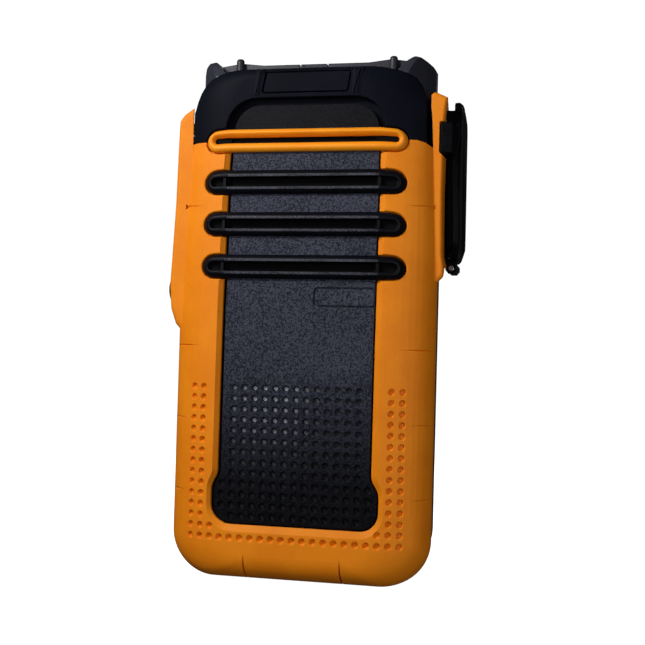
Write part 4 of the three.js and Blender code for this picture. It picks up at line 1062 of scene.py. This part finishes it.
def make_battery():
    pocket = cut(battery_form("pocket", 1.3, BATTERY.y0 - 2, 1.6), box("keep", -13, 13, 0, 11.4, -2, 13))
    case = cut(battery_form("battery_shell", 0, BATTERY.y0, 4), pocket)
    # a thin rim that all but closes the joint between the battery and the housing
    near, far = SPLIT + 0.08, BATTERY.y0 + 0.2
    rim = [(far, 0.35), (near, 0.35), (near, 1.0), (far, 1.0)]
    join(case, loft("joint_rim", [battery_loop(y, inset) for y, inset in rim], ring=True))
    cut(case, box("latch", -11.6, 11.6, 0, 10, -2, 11.6))
    for side in (-1, 1):
        for k in range(7):
            z = 34 + 3 * k
            x = side * (BATTERY.x1 + 0.5)
            cut(case, slab("grip", rectangle(x - 1.1, x + 1.1, z - 0.6, z + 0.6, 0.55, 4), 6.6, 11.6))
    # a shallow field for a label, left blank, and two columns of grooves above it
    cut(case, slab("label", rectangle(-18, 18, 14, 52, 2), BATTERY.y1 - 0.25, 20))
    for x0, x1 in ((-18, -11), (11, 18)):
        for k in range(5):
            z = 58 + 5 * k
            cut(case, slab("groove", rectangle(x0, x1, z, z + 1.4, 0.65, 4), BATTERY.y1 - 0.5, 20))
    return piece(case, "battery", [BATTERY_BLACK], ["battery_case"])


def make_clip():
    pin_y, pin_z = (CLIP_PIN.y0 + CLIP_PIN.y1) / 2, (CLIP_PIN.z0 + CLIP_PIN.z1) / 2
    profile = fillet_path([
        (17.2, 28, 0.6), (17.6, 25.4, 0.6), (19.0, CLIP.z0, 0.8), (20.9, 27, 2.0), (22.2, 40, 10),
        (23.1, 60, 16), (CLIP.y1, 80, 10), (23.4, 90, 4.0), (22.2, CLIP.z1, 0.7), (20.6, 94, 0.5),
        (21.5, 80, 8), (20.9, 60, 14), (20.0, 40, 8), (18.5, 31, 3),
    ], 5)
    clip = slab_x("spring_clip", profile, CLIP.x0, CLIP.x1)
    face = rectangle(CLIP.x0, CLIP.x1, CLIP.z0, CLIP.z1, 4, 8)
    common(clip, slab("face", face, 10, 30))
    bevelled(clip, 0.4, 3)
    for k in range(4):
        z = 86 + 1.9 * k
        cut(clip, slab("ridge", rectangle(-6, 6, z - 0.45, z + 0.45, 0.4, 4), CLIP.y1 - 0.75, 30))
    cut(clip, slab("window", rectangle(-4.5, 4.5, 48, 66, 2, 6), CLIP.y1 - 1.0, 30))
    at_pin = Matrix.Translation((0, pin_y, pin_z))
    lug = turned(rod("lug", 1.8, -5.2, 5.2, 32), at_pin @ TO_X)
    join(lug, box("bridge", -5.2, 5.2, pin_y, 22, pin_z - 1.6, pin_z + 1.6))
    cut(lug, box("middle", -2.9, 2.9, 10, 25, 70, 95))
    join(clip, lug)
    cut(clip, turned(rod("bore", 0.88, -20, 20), at_pin @ TO_X))
    return piece(clip, "belt_clip", [BATTERY_BLACK], ["belt_clip"])


make_jacket()
make_housing()
make_panel()
for index in range(4):
    make_ring(index)
make_plates()
make_top_cover()
make_light()
make_talk_button()
make_side_key()
make_cover()
make_battery()
make_clip()

# ---- materials for the CAD nodes that stay ----
slot_of = {part["node"]: part["material_slot"] for part in frame["record"]["subparts"]}
for node_name, node in frame["nodes"].items():
    if node.hide_render:
        continue
    node.data.materials.clear()
    node.data.materials.append(SLOT_MATERIAL[slot_of[node_name]])


# ---- stage, lights and camera ----
def white(name):
    """A white that glows, so that no shadow shows on it."""
    n = Nodes(name)
    soft = n.noise(400, 1.0)
    n.link(n.mix(soft, (0.9, 0.9, 0.9), (0.891, 0.891, 0.891)), n.shader.inputs["Base Color"])
    n.shader.inputs["Roughness"].default_value = 0.9
    n.shader.inputs["Emission Color"].default_value = (1, 1, 1, 1)
    n.shader.inputs["Emission Strength"].default_value = 1.0
    return n.material


def make_stage():
    made = bmesh.new()
    bmesh.ops.create_icosphere(made, subdivisions=5, radius=3.0)
    dome = from_bmesh("backdrop", made)
    reach, sink = 2.0, -0.00005
    corners = [(x * reach, y * reach, sink) for x, y in ((-1, -1), (1, -1), (1, 1), (-1, 1))]
    floor = solid("floor", corners, [(0, 1, 2, 3)])
    for obj in (dome, floor):
        obj.data.materials.append(white(f"{obj.name}_white"))
        obj.visible_diffuse = False
        obj.visible_glossy = False
        obj.visible_shadow = False


def area_light(name, at_mm, aim_mm, size_mm, watts, colour=(1, 1, 1)):
    data = bpy.data.lights.new(name, "AREA")
    data.shape = "DISK"
    data.size = size_mm * MM
    data.energy = watts
    data.color = colour
    light = placed(name, data)
    light.location = Vector(at_mm) * MM
    light.rotation_mode = "QUATERNION"
    light.rotation_quaternion = (Vector(aim_mm) - Vector(at_mm)).to_track_quat("-Z", "Y")


def make_lights():
    area_light("key", (-110, -150, 180), (-10, -10, 80), 60, 0.35, (1.0, 0.985, 0.96))
    area_light("front", (-90, -230, 110), (0, 0, 65), 90, 0.06)
    area_light("fill", (160, -250, 55), (0, 0, 50), 160, 0.2, (1.0, 0.98, 0.95))
    area_light("back", (-60, 280, 140), (0, 0, 60), 200, 0.2)
    world = bpy.data.worlds.new("studio")
    world.use_nodes = True
    sky = world.node_tree.nodes["Background"]
    sky.inputs["Color"].default_value = (0.93, 0.96, 1.0, 1)
    sky.inputs["Strength"].default_value = 0.05
    bpy.context.scene.world = world


def make_camera():
    data = bpy.data.cameras.new("camera")
    data.lens = 66.98
    data.sensor_width = 36.0
    data.clip_start, data.clip_end = 0.01, 20.0
    camera = placed("camera", data)
    right = Vector((0.972397, 0.231617, 0.028089))
    up = Vector((-0.019839, -0.037873, 0.999085))
    back = right.cross(up)
    turn = Matrix((right, up, back)).transposed()
    camera.matrix_world = Matrix.Translation(Vector((61.90, -251.66, 45.38)) * MM) @ turn.to_4x4()
    bpy.context.scene.camera = camera


make_stage()
make_lights()
make_camera()
bpy.context.scene.view_settings.view_transform = "Standard"
